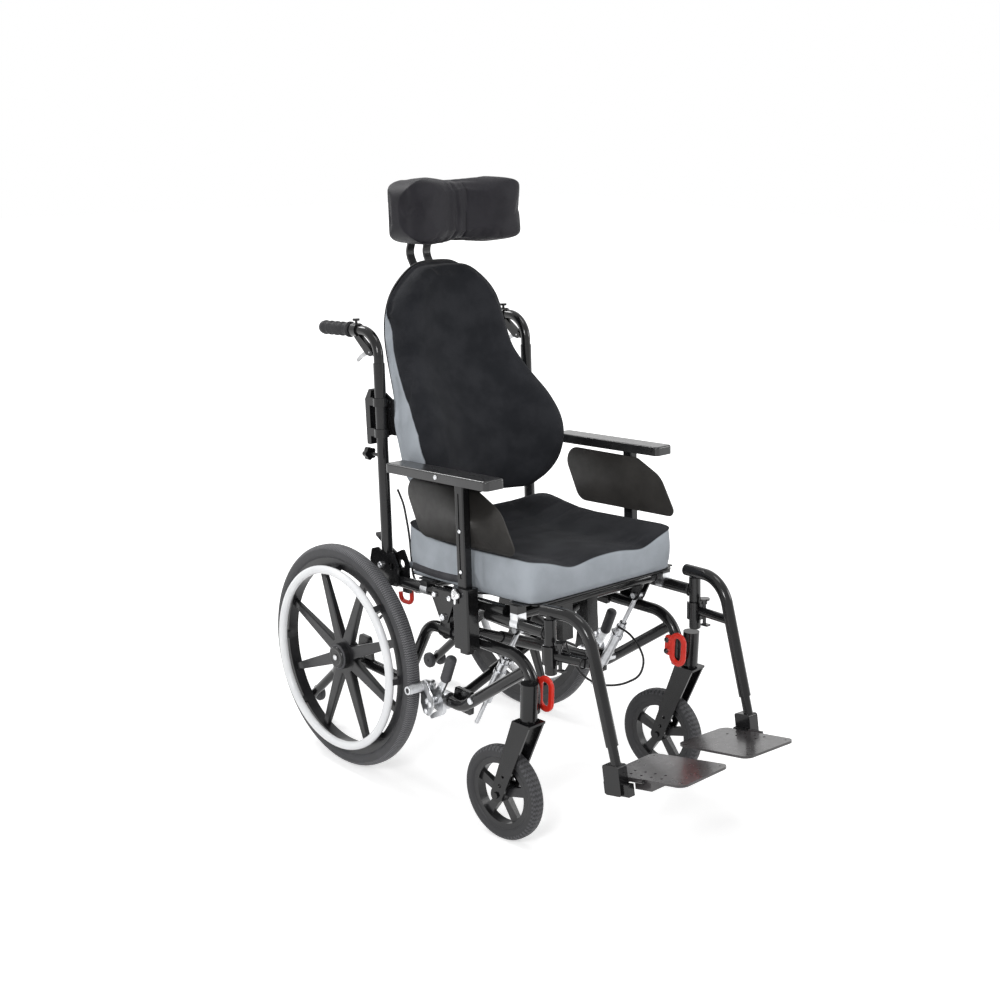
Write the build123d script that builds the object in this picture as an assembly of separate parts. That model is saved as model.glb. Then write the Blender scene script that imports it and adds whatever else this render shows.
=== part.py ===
from build123d import *
import math
import os

# Tilt-in-space wheelchair. Millimetres, +Z up, the chair faces -Y, its left side is +X.
# Lengths along Y are measured from the rear axle while modelling. Every piece is moved at the end,
# so that the origin lies on the ground under the middle of the whole chair.

os.makedirs("parts", exist_ok=True)

# ---- clearances
fit = 0.05            # radial, between a shaft and its bore
side_gap = 0.3        # between faces that pass each other
soft_gap = 0.4        # between a cushion and what carries it

# ---- frame tubes and bolts
tube_d = 25.4
tube_wall = 2.0
side_x = 217.0        # middle of each side frame's tubes
bolt_d = 8.0
head_d = 14.0
head_h = 4.0

# ---- rear wheels
wheel_r = 257.0
wheel_x = 274.8
tyre_w = 35.0
tyre_h = 33.0
rim_w = 26.0
rim_h = 13.0
spoke_n = 8
spoke_turn = -1.0
spoke_root_w = 30.0
spoke_tip_w = 17.0
spoke_root_t = 18.0
spoke_tip_t = 11.0
hub_r = 30.0
hub_in = 23.0         # hub length towards the frame
hub_out = 22.0        # hub length away from the frame
hub_cap_r = 24.0
hub_cap_h = 6.0
hub_flange_r = 42.0
axle_d = 12.7
handrim_r = 203.8
handrim_d = 19.0
handrim_x = 306.8

# ---- casters
caster_r = 101.6
caster_w = 30.4
caster_x = 244.5
swivel_y = -579.5
trail = 62.5
caster_yaw = {"right": 4.4, "left": 7.2}
housing_d = 36.0
housing_bottom = 283.0
housing_top = 360.0
stem_d = 12.7
fork_t = 5.0
fork_gap = 4.0        # between the tyre and each leg
fork_top_w = 48.0
fork_foot_r = 16.0
fork_hole_step = 25.0
caster_rim_r = 79.0
caster_spokes = 5

# ---- side frames
lower_z = 226.0
lower_rear_y = 62.0
lower_front_y = -345.0
strut_angle = 36.3
arch_rear = (-229.7, 384.0)
arch_front = (-566.0, 397.0)
arch_foot_y = -150.0
arch_foot_z = 288.0
arch_bends = (50.0, 75.0)
pivot_y = -298.0
pivot_z = 421.0
pivot_bolt_d = 10.0
pivot_lug_r = 14.0
collar_wall = 4.0
axle_plate_w = 66.0
axle_plate_t = 8.0
axle_plate_rise = 34.0

# ---- cross brace
brace_d = 22.0
brace_sleeve_d = 27.0
brace_y = -322.0
brace_low_z = 246.0
brace_high_z = 390.0
brace_end_x = 196.0

# ---- anti-tippers
anti_tip_d = 21.2
anti_tip_x = 193.0
anti_tip_y = 245.0
anti_tip_z = 62.0
anti_tip_wheel_r = 20.0
anti_tip_wheel_w = 13.0
anti_tip_bend_y = 84.0
anti_tip_knee = (150.0, 152.0)

# ---- seat unit: its frame has z square to the seat rails and y along them, from the canes
seat_slope = 4.19
seat_y = -85.0
seat_z = 451.0
rail_rear = -8.0
rail_lap = (-335.0, -394.0)   # the front rail lies lower and overlaps the rear one here
front_rail_z = (-17.0, -22.0)
post_y = -521.0       # hanger swing posts
post_bottom = -104.0
post_top = 8.0
front_cross_y = -410.0
rear_cross_y = -92.0
cross_drop = 6.0
channel_xs = (-72.0, 2.0)
tilt_plate_t = 4.5
clamp_ys = (-139.0, -428.0)
clamp_w = 22.0
clamp_t = 2.5
pan_z = 20.0
pan_t = 3.0
pan_half = 205.0
pan_front = -470.0
pan_rear = -62.0

# ---- cushions
cushion_half = 213.0
cushion_rear = -59.0
cushion_front = -468.0
cushion_rear_h = 118.0
cushion_front_h = 84.0

# ---- back
cane_top = 481.0
cane_bottom = 20.0
recline_z = 34.0
back_plate_t = 4.7
shell_t = 4.0
flange_zs = (322.0, 398.0)

# ---- push handles
handle_d = 22.0
handle_z = 549.0
handle_tuck = 120.0   # length inside the cane
handle_bend = 55.0
grip_d = 30.0
grip_rear = 204.0
grip_len = 108.0

# ---- head support
pad_half = 171.0
pad_z = 799.0
pad_h = 144.0
pad_y = -12.0
pad_hinge = (36.0, 788.0)
bar_x = 24.0
bar_w = 20.0
bar_t = 5.0

# ---- armrests
arm_x = 249.0
arm_y = -302.0
post_w = 20.0
post_d = 26.0
socket_w = 32.0
socket_d = 48.0
socket_bottom = -91.0
socket_top = 40.0
arm_post_bottom = -102.0
arm_pad_w = 52.0
arm_pad_t = 20.0
arm_pad_top = 279.0
arm_pad_rear = -80.0
arm_pad_front = -407.0
guard_t = 3.2

# ---- leg supports
hanger_bore = 20.1
hanger_start = (214.4, -499.0, 22.0)      # the tube's three points, in the seat unit's frame
hanger_corner = (204.2, -609.0, 22.0)
hanger_end = (201.7, -673.2, -222.0)
hanger_bend = 70.0
foot_tube_d = 20.0
foot_tube_in = 146.0
foot_tube_out = 98.0
cross_z = -65.0
knob_y = -548.0
plate_front = -932.5
plate_t = 5.0
plate_outer = 182.0
plate_inner = 37.0
plate_depth = 197.0
plate_top_z = 243.0       # top of the footplate's front edge
plate_tilt = 11.6         # toe up
plate_toe_in = 2.4
hinge_x = 187.0
heel_x = (191.5, 217.0)   # heel block, in the footplate's frame
heel_d = (130.0, 172.0)   # rearward from the footplate's front edge
heel_h = (-30.0, 31.0)    # above the footplate's top

# ---- tilt locks
lock_x = 178.0
lock_foot = (-384.5, 255.5)
lock_pin = (-387.6, -47.5)   # in the seat unit's frame
lock_body_d = 22.0
lock_body_up = 100.0
lock_body_down = 14.0
lock_rod_d = 10.0
lock_bore_d = 13.4           # the rod swings a little inside it
lock_tail = 84.0

cable_d = 5.0

# ---- wheel locks
brake_x = 244.0
brake_pivot = (-284.0, 233.0)
brake_roller_d = 18.0
brake_roller_len = 72.0
brake_roller_rise = 30.0     # above the axle's height less the pivot's
brake_t = 6.0
brake_grip_d = 24.0
brake_grip_len = 66.0

# ---- worked out from the above
axle_z = wheel_r
wheel_front = anti_tip_y + anti_tip_wheel_r
origin_y = (plate_front + wheel_front) / 2
tube_r = tube_d / 2
caster_axle_y = swivel_y + trail
fork_top = housing_bottom - 4.0
rail_front = post_y + tube_r - 1.0
seat_frame_place = Pos(0, seat_y, seat_z) * Rot(-seat_slope, 0, 0)


def seat_to_chair(y, z):
    """Y and Z of a point of the seat unit's frame, from the axle and the ground."""
    a = math.radians(seat_slope)
    return (seat_y + y * math.cos(a) + z * math.sin(a), seat_z - y * math.sin(a) + z * math.cos(a))


def chair_to_seat(y, z):
    """The inverse of seat_to_chair."""
    a = math.radians(seat_slope)
    dy = y - seat_y
    dz = z - seat_z
    return (dy * math.cos(a) - dz * math.sin(a), dy * math.sin(a) + dz * math.cos(a))


# ---- shape helpers
def solids_of(*shapes):
    """All the solids of the given shapes, as one list."""
    found = []
    for shape in shapes:
        found += shape.solids() if hasattr(shape, "solids") else [s for x in shape for s in x.solids()]
    return found


def write(name, *shapes, seat=False):
    """Write one node: its solids, moved to the chair's origin."""
    place = Pos(0, -origin_y, 0) * (seat_frame_place if seat else Location())
    export_step(Compound(children=[place * s for s in solids_of(*shapes)]), f"parts/{name}.step")


def write_pair(name, *shapes, seat=False):
    """Write a left node and its mirrored right one."""
    write(name + "_left", *shapes, seat=seat)
    write(name + "_right", *[mirror(s, about=Plane.YZ) for s in solids_of(*shapes)], seat=seat)


def both(*shapes):
    """The shapes and their mirror images."""
    left = solids_of(*shapes)
    return left + [mirror(s, about=Plane.YZ) for s in left]


def rod(points, d, bends=None):
    """Round bar along straight runs joined by tangent bends."""
    if bends is None:
        path = Polyline(*points) if len(points) > 2 else Line(*points)
    else:
        path = FilletPolyline(*points, radius=bends)
    return sweep(Plane(origin=path @ 0, z_dir=path % 0) * Circle(d / 2), path=path)


def cyl_x(x0, x1, y, z, d, bore=0.0):
    """Cylinder along X from x0 to x1, with an optional bore."""
    ring = Circle(d / 2) - Circle(bore / 2) if bore else Circle(d / 2)
    return Plane(origin=(x0, y, z), x_dir=(0, 1, 0), z_dir=(1, 0, 0)) * extrude(ring, x1 - x0)


def cyl_y(y0, y1, x, z, d, bore=0.0):
    """Cylinder along Y from y0 to y1, with an optional bore."""
    ring = Circle(d / 2) - Circle(bore / 2) if bore else Circle(d / 2)
    return Plane(origin=(x, y0, z), x_dir=(1, 0, 0), z_dir=(0, 1, 0)) * extrude(ring, y1 - y0)


def cyl_z(z0, z1, x, y, d, bore=0.0):
    """Cylinder along Z from z0 to z1, with an optional bore."""
    ring = Circle(d / 2) - Circle(bore / 2) if bore else Circle(d / 2)
    return Pos(x, y, z0) * extrude(ring, z1 - z0)


def block(x0, x1, y0, y1, z0, z1):
    """Box between the given limits."""
    return Pos((x0 + x1) / 2, (y0 + y1) / 2, (z0 + z1) / 2) * Box(abs(x1 - x0), abs(y1 - y0), abs(z1 - z0))


def side_plate(outline, x0, x1, corner=0.0):
    """Plate of the given (Y, Z) outline between two X positions, its corners rounded."""
    face = make_face(Polyline(*outline, close=True))
    if corner:
        face = fillet(face.vertices(), corner)
    return Plane(origin=(x0, 0, 0), x_dir=(0, 1, 0), z_dir=(1, 0, 0)) * extrude(face, x1 - x0)


def tapered_bar(y0, z0, w0, y1, z1, w1, x0, x1):
    """Flat link between two round ends of unlike width, in a plane across X."""
    a = Pos(y0, z0) * Circle(w0 / 2)
    b = Pos(y1, z1) * Circle(w1 / 2)
    face = make_hull(a.edges() + b.edges())
    return Plane(origin=(x0, 0, 0), x_dir=(0, 1, 0), z_dir=(1, 0, 0)) * extrude(face, x1 - x0)


def bolt_x(x0, x1, y, z, d=bolt_d):
    """Bolt along X with a round head at x1 and a nut at x0, each outside that length."""
    body = cyl_x(x0 - head_h, x1 + head_h, y, z, d)
    head = cyl_x(x1, x1 + head_h, y, z, head_d)
    nut = Plane(origin=(x0 - head_h, y, z), x_dir=(0, 1, 0), z_dir=(1, 0, 0)) * extrude(
        RegularPolygon(head_d / 2, 6), head_h)
    return body + head + nut


# ---- rear wheels
def rear_tyre():
    """Tyre of rounded section, seated on the rim's bed."""
    section = Pos(wheel_r - tyre_h / 2, 0) * RectangleRounded(tyre_h, tyre_w, 14)
    bed = Pos(wheel_r - tyre_h, 0) * Rectangle(2 * rim_h - 8, rim_w)
    ring = revolve(Plane.XZ * (section - bed), Axis.Z)
    return Pos(wheel_x, 0, axle_z) * Rot(0, 90, 0) * ring


def handrim_ring(d):
    """Ring of round section at the handrim's place."""
    ring = revolve(Plane.XZ * (Pos(handrim_r, 0) * Circle(d / 2)), Axis.Z)
    return Pos(handrim_x, 0, axle_z) * Rot(0, 90, 0) * ring


def rear_rim():
    """Moulded rim: bed, tapered spokes, hub with flange and cap, and the handrim's stand-offs."""
    bed_r = wheel_r - tyre_h + rim_h - 4
    bed = revolve(Plane.XZ * (Pos(bed_r - rim_h, 0) * Rectangle(2 * rim_h, rim_w)), Axis.Z)
    inner = bed_r - 2 * rim_h
    hub = Pos(0, 0, (hub_out - hub_in) / 2) * Cylinder(hub_r, hub_in + hub_out)
    flange = Cylinder(hub_flange_r, spoke_root_t)
    cap = Pos(0, 0, hub_out + hub_cap_h / 2) * Cylinder(hub_cap_r, hub_cap_h)
    cap = fillet(cap.edges().group_by(Axis.Z)[-1], hub_cap_h * 0.6)
    wheel = bed + hub + flange + cap
    root = Plane(origin=(hub_r - 4, 0, 0), z_dir=(1, 0, 0), x_dir=(0, 1, 0))
    tip = Plane(origin=(inner + 4, 0, 0), z_dir=(1, 0, 0), x_dir=(0, 1, 0))
    spoke = loft([root * RectangleRounded(spoke_root_w, spoke_root_t, 3),
                  tip * RectangleRounded(spoke_tip_w, spoke_tip_t, 3)])
    tab_in = inner + 2
    reach = handrim_x - wheel_x
    tab = Plane.XZ * Polygon((tab_in, 2), (tab_in + 12, 2), (handrim_r + 9, reach),
                             (handrim_r - 9, reach), align=None)
    tab = Pos(0, 7, 0) * extrude(tab, 14)
    for i in range(spoke_n):
        turn = 360 * i / spoke_n + spoke_turn
        wheel += Rot(0, 0, turn) * spoke
        wheel += Rot(0, 0, turn + 180 / spoke_n) * tab
    wheel -= Pos(0, 0, -hub_in) * extrude(Circle(axle_d / 2 + fit), hub_in + hub_out)
    return Pos(wheel_x, 0, axle_z) * Rot(0, 90, 0) * wheel - handrim_ring(handrim_d)


# ---- casters
def about_swivel(shape, side):
    """A caster piece modelled at X 0, Y 0 under its swivel, put in its place on one side."""
    sign = -1 if side == "right" else 1
    return Pos(sign * caster_x, swivel_y, 0) * Rot(0, 0, caster_yaw[side]) * shape


def fork_leg_x():
    """Inner face of a fork leg from the wheel's middle plane."""
    return caster_w / 2 + fork_gap


def caster_fork():
    """Bent plate fork: a top plate and two sloping legs with three axle holes, and the stem."""
    inner = fork_leg_x()
    outer = inner + fork_t
    half = fork_top_w / 2
    top = block(-outer, outer, -half, half, fork_top - fork_t, fork_top)
    top_edge = Line((-half, fork_top), (half, fork_top))
    face = make_hull((Pos(trail, caster_r) * Circle(fork_foot_r)).edges() + top_edge.edges())
    leg = Plane(origin=(inner, 0, 0), x_dir=(0, 1, 0), z_dir=(1, 0, 0)) * extrude(face, fork_t)
    for i in range(3):
        lean = math.atan2(fork_top - caster_r, trail)
        y = trail - i * fork_hole_step * math.cos(lean)
        z = caster_r + i * fork_hole_step * math.sin(lean)
        leg -= cyl_x(inner - 1, outer + 1, y, z, bolt_d + 2 * fit)
    fork = top + leg + mirror(leg, about=Plane.YZ)
    stem = cyl_z(fork_top - fork_t, housing_top - 16, 0, 0, stem_d)
    washer = cyl_z(fork_top, housing_bottom - side_gap, 0, 0, housing_d - 8)
    return fork + washer + stem


def caster_axle():
    """Axle bolt with washers through the fork's legs."""
    outer = fork_leg_x() + fork_t
    return bolt_x(-outer, outer, trail, caster_r)


def caster_tyre():
    """Solid tyre of a caster, seated on its rim's bed."""
    height = caster_r - caster_rim_r + 4
    section = Pos(caster_r - height / 2, 0) * RectangleRounded(height, caster_w, 10)
    bed = Pos(caster_rim_r - 10, 0) * Rectangle(20, caster_w - 8)
    ring = revolve(Plane.XZ * (section - bed), Axis.Z)
    return Pos(0, trail, caster_r) * Rot(0, 90, 0) * ring


def caster_rim():
    """Moulded caster rim with five tapered spokes and a bored hub."""
    bed_w = caster_w - 8
    bed = Cylinder(caster_rim_r, bed_w) - Cylinder(caster_rim_r - 14, bed_w)
    hub = Cylinder(17, caster_w + fork_gap)
    root = Plane(origin=(10, 0, 0), z_dir=(1, 0, 0), x_dir=(0, 1, 0))
    tip = Plane(origin=(caster_rim_r - 12, 0, 0), z_dir=(1, 0, 0), x_dir=(0, 1, 0))
    spoke = loft([root * Rectangle(15, 16), tip * Rectangle(22, 10)])
    rim = bed + hub
    for i in range(caster_spokes):
        rim += Rot(0, 0, 360 * i / caster_spokes + 36) * spoke
    rim -= Cylinder(bolt_d / 2 + fit, 3 * caster_w)
    return Pos(0, trail, caster_r) * Rot(0, 90, 0) * rim


# ---- wheel base
def tube_frame(d):
    """The bent tubes of one side frame, drawn at a chosen diameter."""
    slope = math.tan(math.radians(strut_angle))
    strut_end = arch_front[0] + 26
    low = [(side_x, lower_rear_y, lower_z), (side_x, lower_front_y, lower_z),
           (side_x, strut_end, lower_z + (lower_front_y - strut_end) * slope)]
    arch = [(side_x, arch_foot_y, lower_z), (side_x, *arch_rear), (side_x, *arch_front),
            (side_x, arch_front[0], arch_foot_z)]
    return rod(low, d, 60) + rod(arch, d, list(arch_bends))


def side_frame():
    """Welded side frame: arch, strut, lower tube, caster housing, axle plate and lugs."""
    frame = tube_frame(tube_d)
    frame += cyl_z(housing_bottom, housing_top, caster_x, swivel_y, housing_d)
    dx = caster_x - side_x
    dy = swivel_y - arch_front[0]
    web = Box(math.hypot(dx, dy), 14, 58)
    middle_z = (arch_foot_z + housing_top - 10) / 2
    frame += Pos(side_x + dx / 2, arch_front[0] + dy / 2, middle_z) * Rot(0, 0, math.degrees(
        math.atan2(dy, dx))) * web
    half = axle_plate_w / 2
    plate = [(-half, lower_z - 12), (half, lower_z - 12), (half - 14, axle_z + axle_plate_rise),
             (14 - half, axle_z + axle_plate_rise)]
    frame += side_plate(plate, side_x - axle_plate_t / 2, side_x + axle_plate_t / 2, 8)
    hub_face = wheel_x - hub_in - side_gap
    frame += cyl_x(side_x - tube_r, hub_face, 0, axle_z, axle_d + 14)
    frame += pivot_lug()
    frame += brace_lugs()
    frame -= tube_frame(tube_d - 2 * tube_wall)
    frame -= cyl_x(side_x - tube_r - 1, hub_face + 1, 0, axle_z, axle_d + 2 * fit)
    frame -= cyl_z(housing_bottom - 1, housing_top - 14, caster_x, swivel_y, stem_d + 2 * fit)
    frame -= cyl_x(side_x - 20, side_x + 20, pivot_y, pivot_z, pivot_bolt_d + 2 * fit)
    frame -= cyl_x(side_x - 20, side_x + 20, *lock_foot, bolt_d)
    return frame


def arch_z(y):
    """Height of the arch's top run at a given Y."""
    slope = (arch_front[1] - arch_rear[1]) / (arch_front[0] - arch_rear[0])
    return arch_rear[1] + (y - arch_rear[0]) * slope


def pivot_lug():
    """Collar round the arch with the lug that carries the tilt bolt."""
    lean = math.degrees(math.atan2(arch_front[1] - arch_rear[1], arch_rear[0] - arch_front[0]))
    z = arch_z(pivot_y)
    collar = Pos(side_x, pivot_y, z) * Rot(90 - lean, 0, 0) * Cylinder(tube_r + collar_wall, 38)
    face = make_hull((Pos(pivot_y, pivot_z) * Circle(pivot_lug_r)).edges()
                     + (Pos(pivot_y, z) * Circle(16)).edges())
    lug = Plane(origin=(side_x - tube_r, 0, 0), x_dir=(0, 1, 0), z_dir=(1, 0, 0)) * extrude(face, tube_d)
    return collar + lug


def brace_lugs():
    """Plates on the inner side of the tubes, to which the cross brace is bolted."""
    x1 = side_x - tube_r + 4
    x0 = brace_end_x + side_gap + 4
    low = [(brace_y - 40, lower_z - 18), (brace_y + 10, lower_z - 18), (brace_y + 20, lower_z + 4),
           (brace_y + 14, brace_low_z + 14), (brace_y - 40, brace_low_z + 14)]
    high = [(brace_y - 42, brace_high_z - 16), (brace_y + 16, brace_high_z - 16),
            (brace_y + 16, brace_high_z + 12), (brace_y - 42, brace_high_z + 12)]
    plates = side_plate(low, x0, x1, 6) + side_plate(high, x0, x1, 6)
    shift = brace_step()
    for y in (brace_y, brace_y - shift):
        for z in (brace_low_z, brace_high_z):
            plates -= cyl_x(x0 - 1, x1 + 1, y, z, bolt_d)
    return plates


def brace_step():
    """Distance along Y between the two crossing brace tubes."""
    return (brace_sleeve_d + brace_d) / 2 + 2 * side_gap


def brace_tube(y, rising):
    """Telescoping brace from one side's low lug to the other's high one, with flat bolted ends."""
    z0 = brace_low_z if rising else brace_high_z
    z1 = brace_high_z if rising else brace_low_z
    x = brace_end_x - 12
    lean = (z1 - z0) / (2 * x)
    tube = rod([(-x, y, z0), (x, y, z1)], brace_d)
    sleeve = rod([(-x * 0.62, y, z0 + lean * x * 0.38), (x * 0.1, y, z0 + lean * x * 1.1)], brace_sleeve_d)
    tube += sleeve
    t = 4.0
    for sign, z in ((-1, z0), (1, z1)):
        tab = tapered_bar(y, z, 20, y, z, 20, brace_end_x - t, brace_end_x + 4)
        tab += block(x - 10, brace_end_x, y - 9, y + 9, z - 8, z + 8)
        tube += tab if sign > 0 else mirror(tab, about=Plane.YZ)
    for sign, z in ((-1, z0), (1, z1)):
        hole = cyl_x(brace_end_x - 9, brace_end_x + 6, y, z, bolt_d)
        tube -= hole if sign > 0 else mirror(hole, about=Plane.YZ)
    middle = (z0 + z1) / 2
    tube -= cyl_y(y - 30, y + 30, 0, middle, bolt_d)
    return tube


def cross_brace():
    """The two crossing tubes."""
    return [brace_tube(brace_y, True), brace_tube(brace_y - brace_step(), False)]


def anti_tip_tube():
    """Bent tube in the lower tube's rear end, with the cross axle of the small wheels."""
    knee_y, knee_z = anti_tip_knee
    path = [(side_x, lower_rear_y - 64, lower_z), (side_x, anti_tip_bend_y, lower_z),
            (anti_tip_x, knee_y, knee_z), (anti_tip_x, anti_tip_y, anti_tip_z)]
    tube = rod(path, anti_tip_d, 32)
    reach = anti_tip_d / 2 + side_gap + anti_tip_wheel_w + 1
    axle = cyl_x(anti_tip_x - reach, anti_tip_x + reach, anti_tip_y, anti_tip_z, 6.0)
    boss = cyl_x(anti_tip_x - 9.6, anti_tip_x + 9.6, anti_tip_y, anti_tip_z, 14)
    return tube + axle + boss


def anti_tip_wheels():
    """Twin small wheels."""
    near = anti_tip_x + anti_tip_d / 2 + side_gap
    wheel = cyl_x(near, near + anti_tip_wheel_w, anti_tip_y, anti_tip_z, 2 * anti_tip_wheel_r, 6 + 2 * fit)
    wheel = fillet(wheel.edges().filter_by(GeomType.CIRCLE).sort_by(SortBy.LENGTH)[-2:], 4)
    return [wheel, mirror(wheel, about=Plane(origin=(anti_tip_x, 0, 0), z_dir=(1, 0, 0)))]


def tie_down_loop():
    """Oval tie-down loop with its two-bolt flange, bolted to the inner side of the arch's leg."""
    y = arch_front[0] - 15
    z = 327.0
    loop = SlotOverall(78, 36, rotation=90) - SlotOverall(52, 12, rotation=90)
    flange = Pos(24, 4) * RectangleRounded(24, 46, 8)
    face = Pos(y, z) * (loop + (flange - Pos(0, 0) * SlotOverall(60, 20, rotation=90)))
    x0 = side_x - tube_r - 8
    plate = Plane(origin=(x0, 0, 0), x_dir=(0, 1, 0), z_dir=(1, 0, 0)) * extrude(face, 8)
    for dz in (-9, 17):
        plate -= cyl_x(x0 - 1, x0 + 9, y + 27, z + dz, 6)
    return plate


def loop_bolts():
    """Bolts of one tie-down loop."""
    y = arch_front[0] + 12
    z = 327.0
    x0 = side_x - tube_r - 8
    return [cyl_x(x0 - 4, x0 + 8, y, z + dz, 6) + cyl_x(x0 - 4, x0, y, z + dz, 11) for dz in (-9, 17)]


def brake_clamp():
    """Clamp round the lower tube with the plate that carries the wheel-lock lever."""
    y, z = brake_pivot
    ring = cyl_y(y - 16, y + 16, side_x, lower_z, tube_d + 12, tube_d)
    x0 = side_x + tube_r + 1
    x1 = brake_x - brake_t / 2 - side_gap
    plate = side_plate([(y - 22, z - 34), (y + 22, z - 22), (y + 24, z + 10), (y, z + 16), (y - 22, z + 4)],
                       x0, x1, 6)
    tongue = tapered_bar(y - 12, z - 30, 14, y + 16, z - 48, 10, x0, x1)
    return ring + plate + tongue - cyl_x(x0 - 30, x1 + 1, y, z, bolt_d) - cyl_y(
        y - 30, y + 30, side_x, lower_z, tube_d)


def brake_bolt():
    """Pivot bolt of a wheel lock."""
    y, z = brake_pivot
    x0 = brake_x + brake_t / 2
    return cyl_x(side_x + tube_r + 1, x0 + 4, y, z, bolt_d) + cyl_x(x0 + side_gap, x0 + 4, y, z, head_d)


def roller_place():
    """Y and Z of the wheel lock's roller, held against the tyre."""
    z = axle_z + 4.0
    away = wheel_r + brake_roller_d / 2 + side_gap
    return (-math.sqrt(away ** 2 - (z - axle_z) ** 2), z)


def wheel_lock():
    """Wheel-lock lever: bell-crank plate, knurled roller and upright grip."""
    y, z = brake_pivot
    ry, rz = roller_place()
    x0 = brake_x - brake_t / 2
    x1 = brake_x + brake_t / 2
    lever = tapered_bar(y, z, 24, ry - 2, rz, 18, x0, x1)
    lever += tapered_bar(y, z, 24, y - 33, z + 50, 14, x0, x1)
    lever -= cyl_x(x0 - 1, x1 + 1, y, z, bolt_d + 2 * fit)
    roller = cyl_x(x0 - 6, x0 - 6 + brake_roller_len, ry, rz, brake_roller_d)
    half = Pos(0, brake_grip_len / 2) * RectangleRounded(brake_grip_d, brake_grip_len, 8)
    half &= Pos(brake_grip_d, brake_grip_len / 2) * Rectangle(2 * brake_grip_d, brake_grip_len)
    grip = Plane(origin=(brake_x, y - 32, z + 50), x_dir=(1, 0, 0), z_dir=(0, -0.35, 0.94)) * revolve(
        Plane.XZ * half, Axis.Z)
    return lever + roller + grip


# ---- tilt locks
def lock_axis():
    """Unit direction, in Y and Z, from the trunnion to the seat pin, and their distance."""
    top = seat_to_chair(*lock_pin)
    dy = top[0] - lock_foot[0]
    dz = top[1] - lock_foot[1]
    length = math.hypot(dy, dz)
    return dy / length, dz / length, length


def on_lock(t):
    """Point of the lock's axis at distance t from the trunnion."""
    uy, uz, _ = lock_axis()
    return (lock_x, lock_foot[0] + t * uy, lock_foot[1] + t * uz)


def lock_body():
    """Lock tube that grips the rod, with its trunnion eye, end nut and release arm."""
    body = rod([on_lock(-lock_body_down), on_lock(lock_body_up)], lock_body_d)
    body += rod([on_lock(lock_body_up - 1), on_lock(lock_body_up + 12)], lock_body_d - 5)
    body += rod([on_lock(lock_body_up - 34), on_lock(lock_body_up - 22)], lock_body_d + 5)
    eye_end = side_x - tube_r - side_gap
    body += cyl_x(lock_x, eye_end, *lock_foot, 18)
    arm_y, arm_z = on_lock(lock_body_up - 6)[1:]
    body += block(lock_x - 24, lock_x - 4, arm_y - 5, arm_y + 5, arm_z - 3, arm_z + 3)
    body -= rod([on_lock(-lock_body_down - 2), on_lock(lock_body_up + 20)], lock_bore_d)
    body -= cyl_x(lock_x + lock_body_d / 2 + 1, eye_end + 1, *lock_foot, bolt_d + 2 * fit)
    return body


def lock_rod():
    """Sliding rod with the eye that hangs on the seat's lock pin."""
    length = lock_axis()[2]
    bar = rod([on_lock(-lock_tail), on_lock(length - 6)], lock_rod_d)
    eye = cyl_x(lock_x - 8, lock_x + 8, *on_lock(length)[1:], 20)
    return bar + eye - cyl_x(lock_x - 9, lock_x + 9, *on_lock(length)[1:], bolt_d + 2 * fit)


def lock_bolt():
    """Trunnion bolt through the strut."""
    y, z = lock_foot
    x0 = lock_x + lock_body_d / 2 + 1.5
    x1 = side_x + tube_r
    return cyl_x(x0, x1 + head_h, y, z, bolt_d) + cyl_x(x1 + 0.2, x1 + head_h, y, z, head_d)


# ---- seat unit (in its own frame)
def front_rail_height(y):
    """Height of the front rail's axis at y."""
    t = (rail_lap[0] - y) / (rail_lap[0] - post_y)
    return front_rail_z[0] + t * (front_rail_z[1] - front_rail_z[0])


def seat_frame():
    """Welded seat frame: rails, cross tubes, swing posts, arm sockets and the lock pin's ears."""
    half = rod([(side_x, rail_rear, 0), (side_x, rail_lap[1], 0)], tube_d)
    half += rod([(side_x, y, front_rail_height(y)) for y in (rail_lap[0], post_y + 6)], tube_d)
    half -= rod([(side_x, rail_rear + 1, 0), (side_x, rail_lap[0] + 10, 0)], tube_d - 2 * tube_wall)
    half += cyl_z(post_bottom, post_top, side_x, post_y, tube_d)
    half += arm_socket()
    half += lock_ears()
    half -= cyl_z(post_bottom - 1, post_top + 1, side_x, post_y, tube_d - 9.3)
    half += hook_tab()
    frame = half + mirror(half, about=Plane.YZ)
    for x in channel_xs:
        frame += underseat_channel(x)
    for y in (front_cross_y, rear_cross_y):
        frame += cyl_x(4 - side_x, side_x - 4, y, -cross_drop, tube_d)
    return frame


def front_slope():
    """Rise of the front rail per millimetre towards the front."""
    return (front_rail_z[1] - front_rail_z[0]) / (rail_lap[0] - post_y)


def arm_socket():
    """Square socket beside the rail, on its mounting plate."""
    x0 = arm_x - socket_w / 2
    outer = block(x0, x0 + socket_w, arm_y - socket_d / 2, arm_y + socket_d / 2, socket_bottom, socket_top)
    outer = fillet(outer.edges().filter_by(Axis.Z), 4)
    well = block(arm_x - post_w / 2 - side_gap, arm_x + post_w / 2 + side_gap,
                 arm_y - post_d / 2 - side_gap, arm_y + post_d / 2 + side_gap,
                 socket_bottom - 1, socket_top + 1)
    plate = block(side_x + tube_r - 2, x0 + 1, arm_y - 18, arm_y + 18, -11, 11)
    return outer + plate - well


def lock_ears():
    """Two ears under the front cross tube for the tilt lock's pin."""
    y, z = lock_pin
    ears = []
    for x0 in (lock_x - 8 - side_gap - 4, lock_x + 8 + side_gap):
        face = make_hull((Pos(y, z) * Circle(11)).edges()
                         + (Pos(front_cross_y, -cross_drop) * Circle(11)).edges())
        ears.append(Plane(origin=(x0, 0, 0), x_dir=(0, 1, 0), z_dir=(1, 0, 0)) * extrude(face, 4))
    pair = ears[0] + ears[1]
    return pair - cyl_x(lock_x - 20, lock_x + 20, y, z, bolt_d)


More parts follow.
